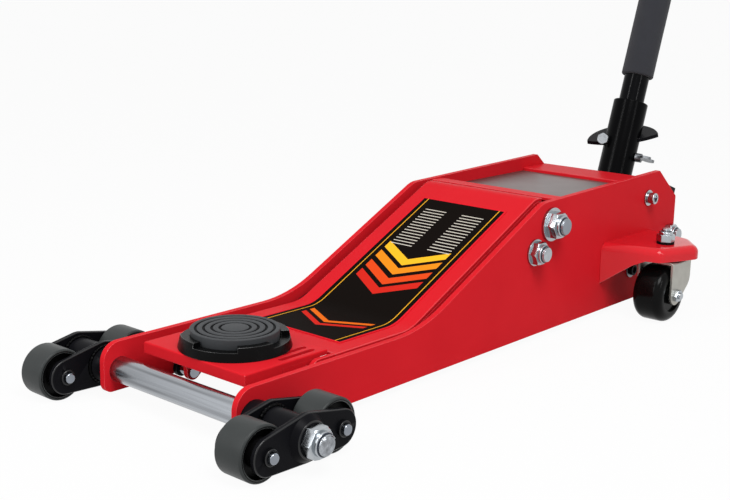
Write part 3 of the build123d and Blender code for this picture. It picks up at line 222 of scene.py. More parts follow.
# pressed outriggers: smooth, with clear highlights on their round rims
red_gloss = powder_coat("red_powder_coat_gloss", "#c31620", "#d11d28", 0.10, 0.15, 0.24)

# %% [markdown]
# ## Black paint
# The rollers' carriers, the handle and its socket are black. It is one kind of paint, laid thicker and
# smoother on tubes than on welded parts, so one recipe makes all four versions with another roughness
# and reflection; the version for rounded edges is also a little lighter, a painted highlight. Black enamel
# has almost no colour of its own: what the eye sees is the soft streak of each lamp along it.

# %% Black enamel
DUST_CLOUD, ENAMEL_RIPPLE, RIPPLE_DEPTH = 35, 1.6, 0.15     # in millimetres
RIPPLE_STRENGTH = 0.16


def black_enamel(name, code, rough_low, rough_high, reflection):
    """Black enamel: dark but not pure black, with a fine ripple and a little dust in its gloss."""
    material, tree, shader = start(name, code, Specular_IOR_Level=reflection)
    place = add(tree, "ShaderNodeTexCoord").outputs["Object"]
    cloud = add(tree, "ShaderNodeTexNoise", {"Vector": place, "Scale": per(DUST_CLOUD), "Detail": 4.0})
    ripple = add(tree, "ShaderNodeTexNoise", {"Vector": place, "Scale": per(ENAMEL_RIPPLE), "Detail": 2.0})
    textured(tree, shader, cloud, (rough_low, rough_high), ripple, RIPPLE_STRENGTH, RIPPLE_DEPTH)
    return material


# welded and pressed parts: a soft, broad sheen
satin_black = black_enamel("satin_black_enamel", "#0f0f12", 0.26, 0.38, 0.035)
# handle socket and weld beads: deeper black, narrower highlights
gloss_black = black_enamel("gloss_black_enamel", "#030304", 0.18, 0.25, 0.04)
# handle tube: thin clear streaks from end to end
tube_black = black_enamel("gloss_black_tube_enamel", "#030305", 0.12, 0.17, 0.07)
# rounded edges: a lighter, glossier black, a painted grey highlight line where a black part ends
black_edge_highlight = black_enamel("satin_black_enamel_edge_highlight", "#121214", 0.20, 0.28, 0.36)

# %% [markdown]
# ## Metals
# Screws and nuts are zinc plated, pins and shafts are ground, the axle is a drawn bar and the tray a
# brushed sheet. A metal's colour is its reflection, so they differ mostly in roughness and in the
# direction of their marks, and one recipe makes them all. A wave texture could draw the marks, but
# stretched noise is less regular, as real marks are. Real turning marks are finer than these, which are
# drawn just coarse enough to show.

# %% Zinc plate, ground, drawn and brushed steel, and spring wire
MARK_STRENGTH = 0.35


def bare_metal(name, light, dark, rough_low, rough_high, clouds, marks, mark_depth):
    """A bare or plated metal: clouds of colour and gloss, and marks, each of a size along each axis."""
    material, tree, shader = start(name, light, Metallic=1.0)
    place = add(tree, "ShaderNodeTexCoord").outputs["Object"]
    drift = add(tree, "ShaderNodeMapping", {"Vector": place, "Scale": tuple(per(c) for c in clouds)})
    cloud = add(tree, "ShaderNodeTexNoise", {"Vector": drift.outputs["Vector"], "Scale": 1.0,
                                             "Detail": 4.0})
    stretch = add(tree, "ShaderNodeMapping", {"Vector": place, "Scale": tuple(per(m) for m in marks)})
    lines = add(tree, "ShaderNodeTexNoise", {"Vector": stretch.outputs["Vector"], "Scale": 1.0,
                                             "Detail": 2.0})
    textured(tree, shader, cloud, (rough_high, rough_low), lines, MARK_STRENGTH, mark_depth, (dark, light))
    return material


# nuts and new screws: clean facets, each with its own part of the room in it
bright_zinc = bare_metal("bright_zinc_plate", "#bcc1c5", "#979ca1", 0.14, 0.24,
                         (9, 9, 9), (1.1, 1.1, 1.1), 0.008)
# caster forks: a milky, slightly yellow grey with lines along the sheet
satin_zinc = bare_metal("satin_zinc_plate", "#b3b1aa", "#9c9a93", 0.36, 0.48,
                        (14, 14, 14), (30, 30, 1.2), 0.03)
# handled screws, and the low screws' washers, where the darker grey is a painted shade: an even, almost
# matt grey
dull_zinc = bare_metal("dull_zinc_plate", "#84878a", "#6c6f72", 0.38, 0.52,
                       (6, 6, 6), (0.9, 0.9, 0.9), 0.05)
# pins, shafts and the ram: dark, sharp reflections, drawn out by the turning marks
ground_steel = bare_metal("ground_steel", "#93989f", "#7e838b", 0.09, 0.16,
                          (14, 14, 14), (40, 0.9, 40), 0.012)
# front axle: long light and dark streaks from end to end, painted reflections in its colour
axle_painted_reflection = bare_metal("axle_steel_painted_reflection", "#d4d9e0", "#08090c", 0.16, 0.27,
                       (5, 260, 5), (0.8, 60, 0.8), 0.010)
# tray: a broad, blurred sheen
brushed_steel = bare_metal("brushed_sheet_steel", "#7f7675", "#6e6564", 0.36, 0.50,
                           (60, 60, 60), (90, 1.0, 90), 0.03)
# springs: dark wire with a film of oil, and a thin light on each turn
spring_wire = bare_metal("oiled_spring_wire", "#5a5b5e", "#3f4043", 0.28, 0.42,
                         (12, 12, 12), (1.5, 1.5, 1.5), 0.03)

# %% [markdown]
# ## Castings, rubber, mouldings and foam
# These are dull and dark, and what tells them apart is their grain: sand-cast iron is pebbly, moulded
# nylon almost smooth, rubber fine and matt, and closed-cell foam full of small pores. Such a grain is too
# fine to model, so a bump stands for it. One recipe with a cloud of colour and a grain of one size serves
# them all.

# %% A recipe for dull skins
SKIN_CLOUD, GRAIN_STRENGTH = 18, 0.5    # the cloud in millimetres


def dull_skin(name, light, dark, rough_low, rough_high, grain, depth, **sockets):
    """A moulded or cast surface: cloudy colour and gloss, and a grain of one size and depth."""
    material, tree, shader = start(name, light, **sockets)
    place = add(tree, "ShaderNodeTexCoord").outputs["Object"]
    cloud = add(tree, "ShaderNodeTexNoise", {"Vector": place, "Scale": per(SKIN_CLOUD), "Detail": 5.0})
    skin = add(tree, "ShaderNodeTexNoise", {"Vector": place, "Scale": per(grain), "Detail": 3.0,
                                            "Roughness": 0.6})
    textured(tree, shader, cloud, (rough_low, rough_high), skin, GRAIN_STRENGTH, depth, (dark, light))
    return material


print("recipe ready")

# %% Castings and nylon
# painted saddle cup: pebbly, so its highlights break up into specks
cast_iron = dull_skin("black_cast_iron", "#0a0a0b", "#050505", 0.20, 0.32, 2.2, 0.30,
                      Specular_IOR_Level=0.06)
# the cup's rounded rims: a lighter, glossier black, a painted thin bright highlight
cast_edge_highlight = dull_skin("black_cast_iron_edge_highlight", "#141415", "#0d0d0e", 0.18, 0.28, 1.6, 0.10,
                      Specular_IOR_Level=0.5)
# unpainted pump casting: a rough grey with a little metal in it
block_iron = dull_skin("bare_pump_casting", "#55565a", "#3c3d40", 0.45, 0.62, 2.2, 0.16, Metallic=0.6)
# roller treads: charcoal, with a faint broad sheen; their rounded edges get a lighter copy, a painted
# highlight
tread_nylon = dull_skin("charcoal_nylon_tread", "#343737", "#2b2e2e", 0.34, 0.46, 1.2, 0.02,
                        Specular_IOR_Level=0.18)
tread_edge_highlight = dull_skin("charcoal_nylon_edge_highlight", "#454848", "#3c3f3f", 0.26, 0.36, 1.2, 0.02,
                       Specular_IOR_Level=0.5)
# roller dishes: a near black, a painted shade inside the rim
dish_shade_nylon = dull_skin("black_nylon_dish_shade", "#0b0b0c", "#060606", 0.42, 0.55, 1.2, 0.03,
                       Specular_IOR_Level=0.12)
# lock nut rings: a hint of blue in the dark gap
insert_nylon = dull_skin("blue_black_nylon_insert", "#222b3a", "#171e2a", 0.40, 0.50, 1.0, 0.02)

# %% Rubber, plastics and foam
# caster wheels: black and wet-looking on the round of the tread
wheel_plastic = dull_skin("black_polyurethane", "#0a0a0a", "#050505", 0.15, 0.24, 1.4, 0.02,
                          Specular_IOR_Level=0.08)
# saddle pad: grey and matt on the tops of its rings; its grooves get a darker copy, a painted shade
pad_rubber = dull_skin("saddle_rubber", "#35373a", "#2b2d2f", 0.55, 0.72, 0.9, 0.05,
                       Specular_IOR_Level=0.3)
groove_shade_rubber = dull_skin("saddle_rubber_groove_shade", "#17181a", "#101112", 0.68, 0.84, 0.9, 0.05,
                          Specular_IOR_Level=0.1)
# piston seal: smooth dark rubber
seal_rubber = dull_skin("black_nitrile_rubber", "#141415", "#0d0d0e", 0.45, 0.60, 0.8, 0.03)
# handle sleeve: soft and pored, with no highlight, only a paler outline
grip_foam = dull_skin("nitrile_grip_foam", "#2e2f34", "#25262b", 0.88, 0.98, 1.3, 0.14,
                      Sheen_Weight=0.10, Sheen_Roughness=0.6, Specular_IOR_Level=0.2)
# handle end plug: a waxy black
plug_plastic = dull_skin("black_polythene", "#141415", "#0d0d0e", 0.40, 0.52, 1.0, 0.03)

# %% [markdown]
# ## Dressing a solid
# The solids come as loose triangles with razor edges, and no real plate or nut has those. Each one is
# copied, its triangles are joined, and its sharp outer edges get a small rounding that catches the light.
# Inner corners stay sharp, as they are where two plates meet. The rounding could be drawn in the shader
# alone, but then an outline would still be a razor, so a Bevel modifier makes it, and its hardened
# normals keep the flat faces flat. The copy then stands in for the solid on the same body.

# %% Putting a finished mesh on its body
body_of = {node: body for body, nodes in frame["record"]["behaviour"]["bodies"].items() for node in nodes}


def finished(name, mesh, materials, body=None, stands_for=()):
    """A piece at the origin with its materials, standing for the solids it covers."""
    piece = placed(name, mesh)
    if not mesh.materials:
        for material in materials:
            mesh.materials.append(material)
    if body:
        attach(piece, body)
    if stands_for:
        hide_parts(*stands_for)
    return piece


def baked(thing):
    """The mesh that an object shows with its modifiers, as plain data; the object itself goes."""
    view = bpy.context.evaluated_depsgraph_get()
    view.update()
    mesh = bpy.data.meshes.new_from_object(thing.evaluated_get(view))
    bpy.data.objects.remove(thing)
    return mesh


print(len(body_of), "solids know their body")

# %% A dressed copy of a solid
SAME_POINT = 0.002              # millimetres
SAME_FACE = math.radians(0.4)
SHARP = math.radians(32)


def joined_mesh(node):
    """A copy of a solid's mesh with its triangles joined and its sharp outer edges marked."""
    mesh = frame["nodes"][node].data.copy()
    mesh.materials.clear()
    edit = bmesh.new()
    edit.from_mesh(mesh)
    bmesh.ops.remove_doubles(edit, verts=edit.verts, dist=SAME_POINT * MM)
    bmesh.ops.dissolve_limit(edit, angle_limit=SAME_FACE, verts=edit.verts, edges=edit.edges)
    weight = edit.edges.layers.float.new("bevel_weight_edge")
    for line in edit.edges:
        if line.is_manifold and line.is_convex and line.calc_face_angle() > SHARP:
            line[weight] = 1.0
    for face in edit.faces:
        face.smooth = True
    edit.to_mesh(mesh)
    edit.free()
    mesh.set_sharp_from_angle(angle=SHARP)
    return mesh


def dressed(node, material, edge, rim=None, steps=3):
    """The solid with its marked edges rounded by so many millimetres, in its real finish."""
    mesh = joined_mesh(node)
    mesh.materials.append(material)
    thing = placed("raw", mesh)
    soft = thing.modifiers.new("edges", "BEVEL")
    soft.width = edge * MM
    soft.segments = steps
    soft.limit_method = "WEIGHT"
    soft.harden_normals = True
    # the rounding's faces take the rim finish, a lighter, glossier copy: a painted highlight along the
    # edge
    if rim:
        mesh.materials.append(rim)
        soft.material = 1
    return finished(node + "_piece", baked(thing), [], body_of[node], [node])


def dress(finishes, rim=None):
    """Dresses many solids: for each finish, its solids and the rounding of their edges in millimetres."""
    for material, edges in finishes:
        for node, edge in edges.items():
            dressed(node, material, edge, rim)
        print(len(edges), "pieces in", material.name)


def second_finish(piece, material, where):
    """Gives another material to the faces whose middle, on the ruler, passes a test."""
    piece.data.materials.append(material)
    count = 0
    for face in piece.data.polygons:
        if where(ruler(face.center)):
            face.material_index = len(piece.data.materials) - 1
            count += 1
    print(piece.name, count, "faces in", material.name)


print("rounds outer edges sharper than", round(math.degrees(SHARP)), "degrees")

# %% [markdown]
# ## The painted frame
# Side plates, outriggers, tray bars, lift arm and saddle bracket are cut and pressed from plate. The
# solids already have every cut and bend, so each is only rounded: sheared plate has an edge of about half
# a millimetre, and thick paint makes it look larger.

# %% Red painted plates
dress([
    (red_paint, {"side_plate_left": 1.0, "side_plate_right": 1.0, "front_cross_bar": 0.8,
                 "rear_ledge": 0.8, "lift_arm_cover": 1.0, "lift_arm_walls": 0.9,
                 "saddle_bracket_plate": 0.8, "saddle_bracket_ears": 0.7}),
    (red_gloss, {"outrigger_left": 1.2, "outrigger_right": 1.2}),
], red_edge_highlight)

# %% [markdown]
# ## The black welded parts
# The bogies that carry the front rollers, the yoke, the pedal, the links and the arm's lever are welded
# or pressed and then dipped in satin enamel. Socket and handle are drawn tube, so they shine more. They
# are made as the plates are, each with its own rounding.

# %% Black painted pieces
dress([
    (satin_black, {"bogie_left": 1.4, "bogie_right": 1.4, "yoke_arms": 0.9, "foot_pedal": 1.2,
                   "levelling_links": 0.7, "lift_arm_lever": 0.6, "reservoir_tube": 0.4}),
    (gloss_black, {"handle_socket": 0.6}),
    (tube_black, {"handle_tube": 0.3}),
], black_edge_highlight)

# %% [markdown]
# ## Castings, fasteners and bare metal
# The saddle cup is a painted casting and the pump block a bare one. Every screw, nut and washer is zinc
# plated, and whatever turns or slides is ground bright. The washers under the kingpin nuts are black
# spring washers, and the two low screws have black heads; their washers get a darker dull grey, a painted
# shade under the outrigger. Each of those could be a piece of its own, but they are in a group with the
# bright ones, so their faces get a second finish, found by where they are.

# %% Castings and bare metal
dress([(cast_iron, {"saddle_cup": 1.0})], cast_edge_highlight)
dress([
    (block_iron, {"pump_block": 0.8, "crosshead": 0.6}),
    (bright_zinc, {"caster_kingpins": 0.4, "caster_axle_left": 0.4, "caster_axle_right": 0.4,
                   "pump_fittings": 0.3, "cylinder_cap": 0.4, "frame_lock_nuts": 0.4}),
    (satin_zinc, {"caster_fork_left": 0.9, "caster_fork_right": 0.9}),
    (dull_zinc, {"retaining_bolt": 0.6, "wing_screw": 0.8}),
    (ground_steel, {"main_pivot_shaft": 0.5, "roller_pins_left": 0.4, "roller_pins_right": 0.4,
                    "bracket_pins": 0.4, "lug_pin": 0.4, "ram": 0.4, "plunger": 0.4, "release_stem": 0.3,
                    "cylinder_tube": 0.3, "pump_roller": 0.4}),
    (axle_painted_reflection, {"front_axle": 0.4}),
    (brushed_steel, {"tray_panel": 0.4}),
    (plug_plastic, {"end_plug": 0.4}),
    (seal_rubber, {"piston_seal": 0.3}),
])

# %% Washers and bolts with a second finish
KINGPIN_WASHER_FROM, OUTRIGGER_FROM = 91.5, 120.0       # just under the outrigger's top, and its inside
LOW_SCREW, LOW_SCREW_REACH = (-642.0, 47.0), 12.0       # in X and Z, and how far its washer reaches


def on_outrigger(p):
    """Whether a place is on top of an outrigger, where the kingpin's washer lies."""
    return p.z > KINGPIN_WASHER_FROM and abs(p.y) > OUTRIGGER_FROM


def at_low_screw(p):
    """Whether a place belongs to one of the two low screws."""
    return math.hypot(p.x - LOW_SCREW[0], p.z - LOW_SCREW[1]) < LOW_SCREW_REACH


washers = dressed("frame_washers", bright_zinc, 0.3)
second_finish(washers, satin_black, on_outrigger)
# the low screws' washers are darker, a painted shade under the outrigger
second_finish(washers, dull_zinc, at_low_screw)
bolts = dressed("frame_bolts", bright_zinc, 0.4)
second_finish(bolts, satin_black, at_low_screw)

# %% [markdown]
# ## Rollers and caster wheels
# The front rollers are moulded in charcoal nylon, and everything inside the rim is painted near black, a
# painted shade in their dished sides. The caster wheels are one black moulding with a glossy, very round
# tread. Both solids have their dished sides already.

# %% Rollers and caster wheels
ROLLER_RADIUS, ROLLER_RIM, ROLLER_PITCH = 25.0, 4.0, 86.0
SLACK = 0.1             # millimetres of room in a test of where a face is
# inside this radius a roller is painted near black, a painted shade in its dish
DISH_SHADE_RADIUS = ROLLER_RADIUS - ROLLER_RIM + SLACK
for hand, _ in SIDES:
    for end, x in (("front", ROLLER_PITCH / 2), ("rear", -ROLLER_PITCH / 2)):
        wheel = dressed("roller_%s_%s" % (hand, end), tread_nylon, 1.0, tread_edge_highlight)
        second_finish(wheel, dish_shade_nylon, lambda p: math.hypot(p.x - x, p.z - ROLLER_RADIUS) < DISH_SHADE_RADIUS)
    dressed("caster_wheel_" + hand, wheel_plastic, 0.8)

# %% [markdown]
# ## Turned pieces
# Rubber pad, foam sleeve and the nylon rings in the lock nuts are all round, so each is a profile turned
# about an axis, as a potter would do it. A Screw modifier could do that too, but a short function keeps
# the profile in plain sight: it takes points of radius and height, in millimetres, and spins them. Where
# the radius is zero the points run together at the pole.

# %% A lathe
TOUCHING, NO_EDGE = 0.001, 0.0005       # millimetres
TURNED_SHARP = math.radians(40)


def lathed(profile, steps):
    """A closed mesh: a loop of (radius, height) points in millimetres, turned about Z."""
    edit = bmesh.new()
    rings = []
    for i in range(steps):
        angle = 2 * math.pi * i / steps
        rings.append([edit.verts.new((r * MM * math.cos(angle), r * MM * math.sin(angle), h * MM))
                      for r, h in profile])
    for i, ring in enumerate(rings):
        after = rings[(i + 1) % steps]
        for j in range(len(profile)):
            k = (j + 1) % len(profile)
            edit.faces.new((ring[j], after[j], after[k], ring[k]))
    bmesh.ops.remove_doubles(edit, verts=edit.verts, dist=TOUCHING * MM)
    bmesh.ops.dissolve_degenerate(edit, edges=edit.edges, dist=NO_EDGE * MM)
    bmesh.ops.recalc_face_normals(edit, faces=edit.faces)
    for face in edit.faces:
        face.smooth = True
    mesh = bpy.data.meshes.new("turned")
    edit.to_mesh(mesh)
    edit.free()
    mesh.set_sharp_from_angle(angle=TURNED_SHARP)
    return mesh


def corner(r, h, size, first, last, points=4):
    """Points of a rounded corner, from one angle to another in degrees."""
    angles = [math.radians(first + (last - first) * i / (points - 1)) for i in range(points)]
    return [(r + size * math.cos(a), h + size * math.sin(a)) for a in angles]


def stood(mesh, origin, direction):
    """Moves a mesh that was made along Z to a place, with Z turned to a direction."""
    turn = Vector(direction).to_track_quat("Z", "Y").to_matrix().to_4x4()
    mesh.transform(Matrix.Translation(origin) @ turn)
    return mesh


def joined(meshes):
    """Several meshes as one."""
    edit = bmesh.new()
    for mesh in meshes:
        edit.from_mesh(mesh)
    whole = bpy.data.meshes.new("joined")
    edit.to_mesh(whole)
    edit.free()
    for mesh in meshes:
        if mesh.materials and not whole.materials:
            whole.materials.append(mesh.materials[0])
        bpy.data.meshes.remove(mesh)
    return whole


print("lathe ready")

# %% [markdown]
# ## The saddle's rubber pad
# The pad is a disc of hard rubber with four ring grooves. Each ring is drawn with rounded shoulders, as
# moulded rubber has when it leaves its mould, and a cloth simulation would only blur them. The tops of
# the rings are grey, and the grooves between them get a darker copy of the rubber, a painted shade.

# %% Rubber pad
SADDLE = (-66.6, 0.0)
PAD_SOLID, PAD_RADIUS = 42.8, 42.6      # of the solid, and of the pad that stands just inside it
PAD_FOOT, PAD_TOP, PAD_CHAMFER = 63.4, 75.0, 1.0
GROOVES, GROOVE_WIDTH, GROOVE_DEPTH, RING_PITCH, BORDER = 4, 2.4, 1.6, 7.6, 4.5
SHOULDER, GROOVE_DRAFT, PAD_STEPS = 0.7, 0.15, 96
GROOVE_SHADE_FROM, PAD_SIDE = 0.9, 2            # the painted groove shade: how far down, and how far in from the outside

edges = [PAD_SOLID]
for ring in range(GROOVES):
    outer = PAD_SOLID - BORDER - ring * RING_PITCH
    edges += [outer, outer - GROOVE_WIDTH]
edges.append(0.0)
profile = [(0.0, PAD_FOOT), (PAD_RADIUS - PAD_CHAMFER, PAD_FOOT)]
for outer, inner in zip(edges[0::2], edges[1::2]):
    rim = min(outer, PAD_RADIUS) - SHOULDER
    if outer < PAD_RADIUS:
        profile.append((outer + GROOVE_DRAFT, PAD_TOP - GROOVE_DEPTH))
    profile += corner(rim, PAD_TOP - SHOULDER, SHOULDER, 0, 90)
    if inner > 0:
        profile += corner(inner + SHOULDER, PAD_TOP - SHOULDER, SHOULDER, 90, 180)
        profile.append((inner - GROOVE_DRAFT, PAD_TOP - GROOVE_DEPTH))
    else:
        profile.append((0.0, PAD_TOP))
pad = stood(lathed(profile, PAD_STEPS), at(*SADDLE, 0), (0, 0, 1))
pad = finished("saddle_pad_piece", pad, [pad_rubber], "saddle", ["saddle_pad"])
# the grooves are painted darker, a painted shade
second_finish(pad, groove_shade_rubber, lambda p: -GROOVE_DEPTH - SLACK < p.z - PAD_TOP < -GROOVE_SHADE_FROM
              and math.hypot(p.x - SADDLE[0], p.y - SADDLE[1]) < PAD_RADIUS - PAD_SIDE)
print("rubber pad:", len(pad.data.polygons), "faces")

# %% [markdown]
# ## The foam sleeve
# A sleeve of closed-cell foam is pushed over the handle. It is soft, so its ends are rounded and its
# outside is never quite straight. The tight tube inside holds it in shape, so it needs no cloth: slow
# noise along it moves the skin by a few tenths of a millimetre.

# %% Foam sleeve
LEAN = math.radians(19)
HANDLE_PIVOT = (-734.0, 0.0, 79.0)
HANDLE_WAY = Vector((-math.sin(LEAN), 0, math.cos(LEAN)))
FOAM_FROM, FOAM_TO, FOAM_RADIUS, FOAM_BORE, FOAM_ROUND = 203.0, 643.0, 21.2, 16.8, 2.6
FOAM_RINGS, FOAM_STEPS = 110, 64
SKIN_RADIUS = FOAM_BORE + 1             # inside this, the foam sits still on its tube
SWELLS = ((35, 0.22), (6, 0.07))        # length and height of the waves in its skin, in millimetres

low, high = FOAM_FROM + FOAM_ROUND, FOAM_TO - FOAM_ROUND
profile = [(FOAM_BORE, FOAM_FROM)]
profile += corner(FOAM_RADIUS - FOAM_ROUND, low, FOAM_ROUND, -90, 0, 6)
for i in range(1, FOAM_RINGS):
    profile.append((FOAM_RADIUS, low + (FOAM_TO - FOAM_FROM - 2 * FOAM_ROUND) * i / FOAM_RINGS))
profile += corner(FOAM_RADIUS - FOAM_ROUND, high, FOAM_ROUND, 0, 90, 6)
profile.append((FOAM_BORE, FOAM_TO))
foam = lathed(profile, FOAM_STEPS)
for vertex in foam.vertices:
    across = Vector((vertex.co.x, vertex.co.y, 0))
    if across.length > SKIN_RADIUS * MM:
        swell = sum(noise.noise(vertex.co * per(size)) * height for size, height in SWELLS)
        vertex.co += across.normalized() * swell * MM
foam = stood(foam, at(*HANDLE_PIVOT), HANDLE_WAY)
foam = finished("foam_sleeve_piece", foam, [grip_foam], "handle", ["foam_sleeve"])
print("foam sleeve:", len(foam.data.polygons), "faces")

# %% [markdown]
# ## Nylon rings in the lock nuts
# A lock nut grips its thread with a ring of nylon, which shows as a thin dark ring between the bright
# collar and the bolt. A dark band of colour would do from afar, but each ring stands a fraction of a
# millimetre proud of its collar, so it is turned as a piece.

# %% Nylon rings
BOLT_ENDS = [   # place in X and Z, where the collar ends in Y, and the thread's radius
    ((0.0, 28.4), 180.8, 9.0), ((-454.0, 131.7), 113.1, 9.0), ((-424.0, 104.3), 109.1, 8.0),
    ((-734.0, 79.0), 107.6, 8.0),
]
KINGPIN, KINGPIN_THREAD = (-622.0, 150.1, 107.0), 5.0
RING_IN, RING_OUT, RING_ROUND = 0.1, 1.5, 0.4           # beyond the thread
RING_SINK, RING_PROUD = -0.3, 0.45                      # below and above the end of the collar
RING_STEPS = 40

nut_ends = [(at(x, way * y, z), (0, way, 0), r) for (x, z), y, r in BOLT_ENDS for _, way in SIDES]
nut_ends += [(at(KINGPIN[0], way * KINGPIN[1], KINGPIN[2]), (0, 0, 1), KINGPIN_THREAD) for _, way in SIDES]
rings = []
for origin, direction, radius in nut_ends:
    inside, outside = radius + RING_IN, radius + RING_OUT
    loop = [(inside, RING_SINK), (outside, RING_SINK)]
    loop += corner(outside - RING_ROUND, RING_PROUD - RING_ROUND, RING_ROUND, 0, 90)
    rings.append(stood(lathed(loop + [(inside, RING_PROUD)], RING_STEPS), origin, direction))
finished("nut_insert_rings", joined(rings), [insert_nylon], "frame")
print("nylon rings:", len(nut_ends))

# %% [markdown]
# ## Geometry Nodes: one way in, one way out
# Springs, threads and weld beads all follow a path and repeat along it, so small node trees grow them.
# The first helper starts a tree with a geometry input and one named number for every size, and the second
# ends it. The third runs a mesh through a tree and keeps the result as a plain mesh, which is what the
# export wants. A modifier knows its inputs by their identifiers, so the names are looked up first.

# %% Helpers for Geometry Nodes
def sized_tree(name, *sizes):
    """A tree with a geometry in and out and a number for each size, and the sockets at both its ends."""
    tree = bpy.data.node_groups.new(name, "GeometryNodeTree")
    tree.interface.new_socket("Geometry", in_out="INPUT", socket_type="NodeSocketGeometry")
    for size in sizes:
        tree.interface.new_socket(size, in_out="INPUT", socket_type="NodeSocketFloat")
    tree.interface.new_socket("Geometry", in_out="OUTPUT", socket_type="NodeSocketGeometry")
    return tree, add(tree, "NodeGroupInput").outputs, add(tree, "NodeGroupOutput").inputs


def ended(tree, result, grown_part, material, smooth=True):
    """The end of every tree: instances made real, shading, and the material."""
    last = add(tree, "GeometryNodeRealizeInstances", {"Geometry": grown_part})
    if smooth:
        last = add(tree, "GeometryNodeSetShadeSmooth", {"Geometry": last.outputs["Geometry"]})
    last = add(tree, "GeometryNodeSetMaterial", {"Geometry": last.outputs["Geometry"],
                                                 "Material": material})
    tree.links.new(last.outputs["Geometry"], result["Geometry"])
    print("tree", tree.name, "with", len(tree.nodes), "nodes")


def grown(tree, seed, **sizes):
    """What a tree makes of a seed mesh with the given sizes, as a plain mesh."""
    thing = placed("seed", seed)
    step = thing.modifiers.new("grow", "NODES")
    step.node_group = tree
    known = {item.name: item.identifier for item in tree.interface.items_tree if item.in_out == "INPUT"}
    for key, value in sizes.items():
        step[known[key]] = float(value)
    return baked(thing)


def wire(*runs):
    """A mesh of points and edges only: each run is a list of points, and closes if it ends as it began."""
    points, edges = [], []
    for run in runs:
        first = len(points)
        closed = len(run) > 2 and (run[0] - run[-1]).length < TOUCHING * MM
        points += run[:-1] if closed else run
        edges += [(i, i + 1) for i in range(first, len(points) - 1)]
        if closed:
            edges.append((len(points) - 1, first))
    mesh = bpy.data.meshes.new("wire")
    mesh.from_pydata(points, edges, [])
    return mesh


print("node helpers ready")

# %% [markdown]
# ## Springs
# Two long springs pull the ram home and a short one lifts the pump's plunger. A spring is a round wire
# wound on a rod: a spiral curve with a circle swept along it. The tree puts one spring on each point of
# its seed, so the pair is made at once. The long springs are hooked to the frame and to the ram and span
# the length between the two; the short one lies along the plunger.

# %% A tree for springs
def coiled(tree, given, turns, thick, steps, sides):
    """A wound wire: a spiral of the given radius and length, with a circle swept along it."""
    path = add(tree, "GeometryNodeCurveSpiral", {
        "Resolution": steps, "Rotations": turns, "Start Radius": given["Radius"],
        "End Radius": given["Radius"], "Height": given["Length"]})
    section = add(tree, "GeometryNodeCurvePrimitiveCircle", {"Resolution": sides, "Radius": thick})
    swept = add(tree, "GeometryNodeCurveToMesh", {
        "Curve": path.outputs["Curve"], "Profile Curve": section.outputs["Curve"], "Fill Caps": True})
    return swept.outputs["Mesh"]


spring_tree, given, result = sized_tree("coil_spring", "Radius", "Wire", "Turns", "Length")
half = add(spring_tree, "ShaderNodeMath", {0: given["Wire"], 1: 0.5}, operation="MULTIPLY")
wound = coiled(spring_tree, given, given["Turns"], half.outputs["Value"], steps=20, sides=10)
spread = add(spring_tree, "GeometryNodeInstanceOnPoints", {
    "Points": given["Geometry"], "Instance": wound, "Rotation": (0, math.pi / 2, 0)})
ended(spring_tree, result, spread.outputs["Instances"], spring_wire)

# %% Return springs
SPRING_FROM, SPRING_TO, SPRING_SIDE, SPRING_HEIGHT = -631.7, -523.3, 54.0, 61.4
SPRING_RADIUS, SPRING_WIRE, SPRING_TURNS = 8, 3, 19
SPRING_INSET = 1.6      # from each end to the middle of the wire
seed = wire(*[[at(SPRING_FROM + SPRING_INSET, way * SPRING_SIDE, SPRING_HEIGHT)] for _, way in SIDES])
coils = grown(spring_tree, seed, Radius=SPRING_RADIUS * MM, Wire=SPRING_WIRE * MM, Turns=SPRING_TURNS,
              Length=(SPRING_TO - SPRING_FROM - 2 * SPRING_INSET) * MM)
returns = finished("return_springs_piece", coils, [], stands_for=["return_springs"])
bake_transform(returns)
print("return springs:", len(returns.data.polygons), "faces")

# %% Plunger spring
PUMP_FROM, PUMP_TO, PUMP_SIDE, PUMP_HEIGHT = -730.3, -693.8, 39.0, 54.3
PUMP_RADIUS, PUMP_WIRE, PUMP_TURNS, PUMP_INSET = 9.5, 2, 6, 1.1
seed = wire([at(PUMP_FROM + PUMP_INSET, PUMP_SIDE, PUMP_HEIGHT)])
coils = grown(spring_tree, seed, Radius=PUMP_RADIUS * MM, Wire=PUMP_WIRE * MM, Turns=PUMP_TURNS,
              Length=(PUMP_TO - PUMP_FROM - 2 * PUMP_INSET) * MM)
lifter = finished("plunger_spring_piece", coils, [], body_of["plunger_spring"],
                  ["plunger_spring"])
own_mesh(lifter)
print("plunger spring:", len(lifter.data.polygons), "faces")

# %% [markdown]
# ## Screw threads
# Each bolt ends a few millimetres beyond its nut, and there the thread shows. A thread is a ridge wound
# round the bolt, so it is the spring's idea again with a four-sided wire, half sunk in the bolt. The
# ridge is drawn shallower than a real one, because the bolt under it keeps its full thickness.

# %% A tree for threads
RIDGE_SHARE = 0.3       # half the ridge's width, as a share of the pitch
thread_tree, given, result = sized_tree("thread", "Radius", "Pitch", "Length")
turns = add(thread_tree, "ShaderNodeMath", {0: given["Length"], 1: given["Pitch"]}, operation="DIVIDE")
width = add(thread_tree, "ShaderNodeMath", {0: given["Pitch"], 1: RIDGE_SHARE}, operation="MULTIPLY")
ridge = coiled(thread_tree, given, turns.outputs["Value"], width.outputs["Value"], steps=32, sides=4)
ended(thread_tree, result, ridge, bright_zinc, smooth=False)

# %% Screw threads
THREAD_PITCH, THREAD_SINK = 1.25, 0.1
THREAD_FROM, THREAD_LONG = 0.6, 2.4     # beyond the nut's collar
CASTER_AXLE, CASTER_THREAD, CASTER_THREAD_LONG = (-613.0, 178.5, 34.0), 4.0, 1.2


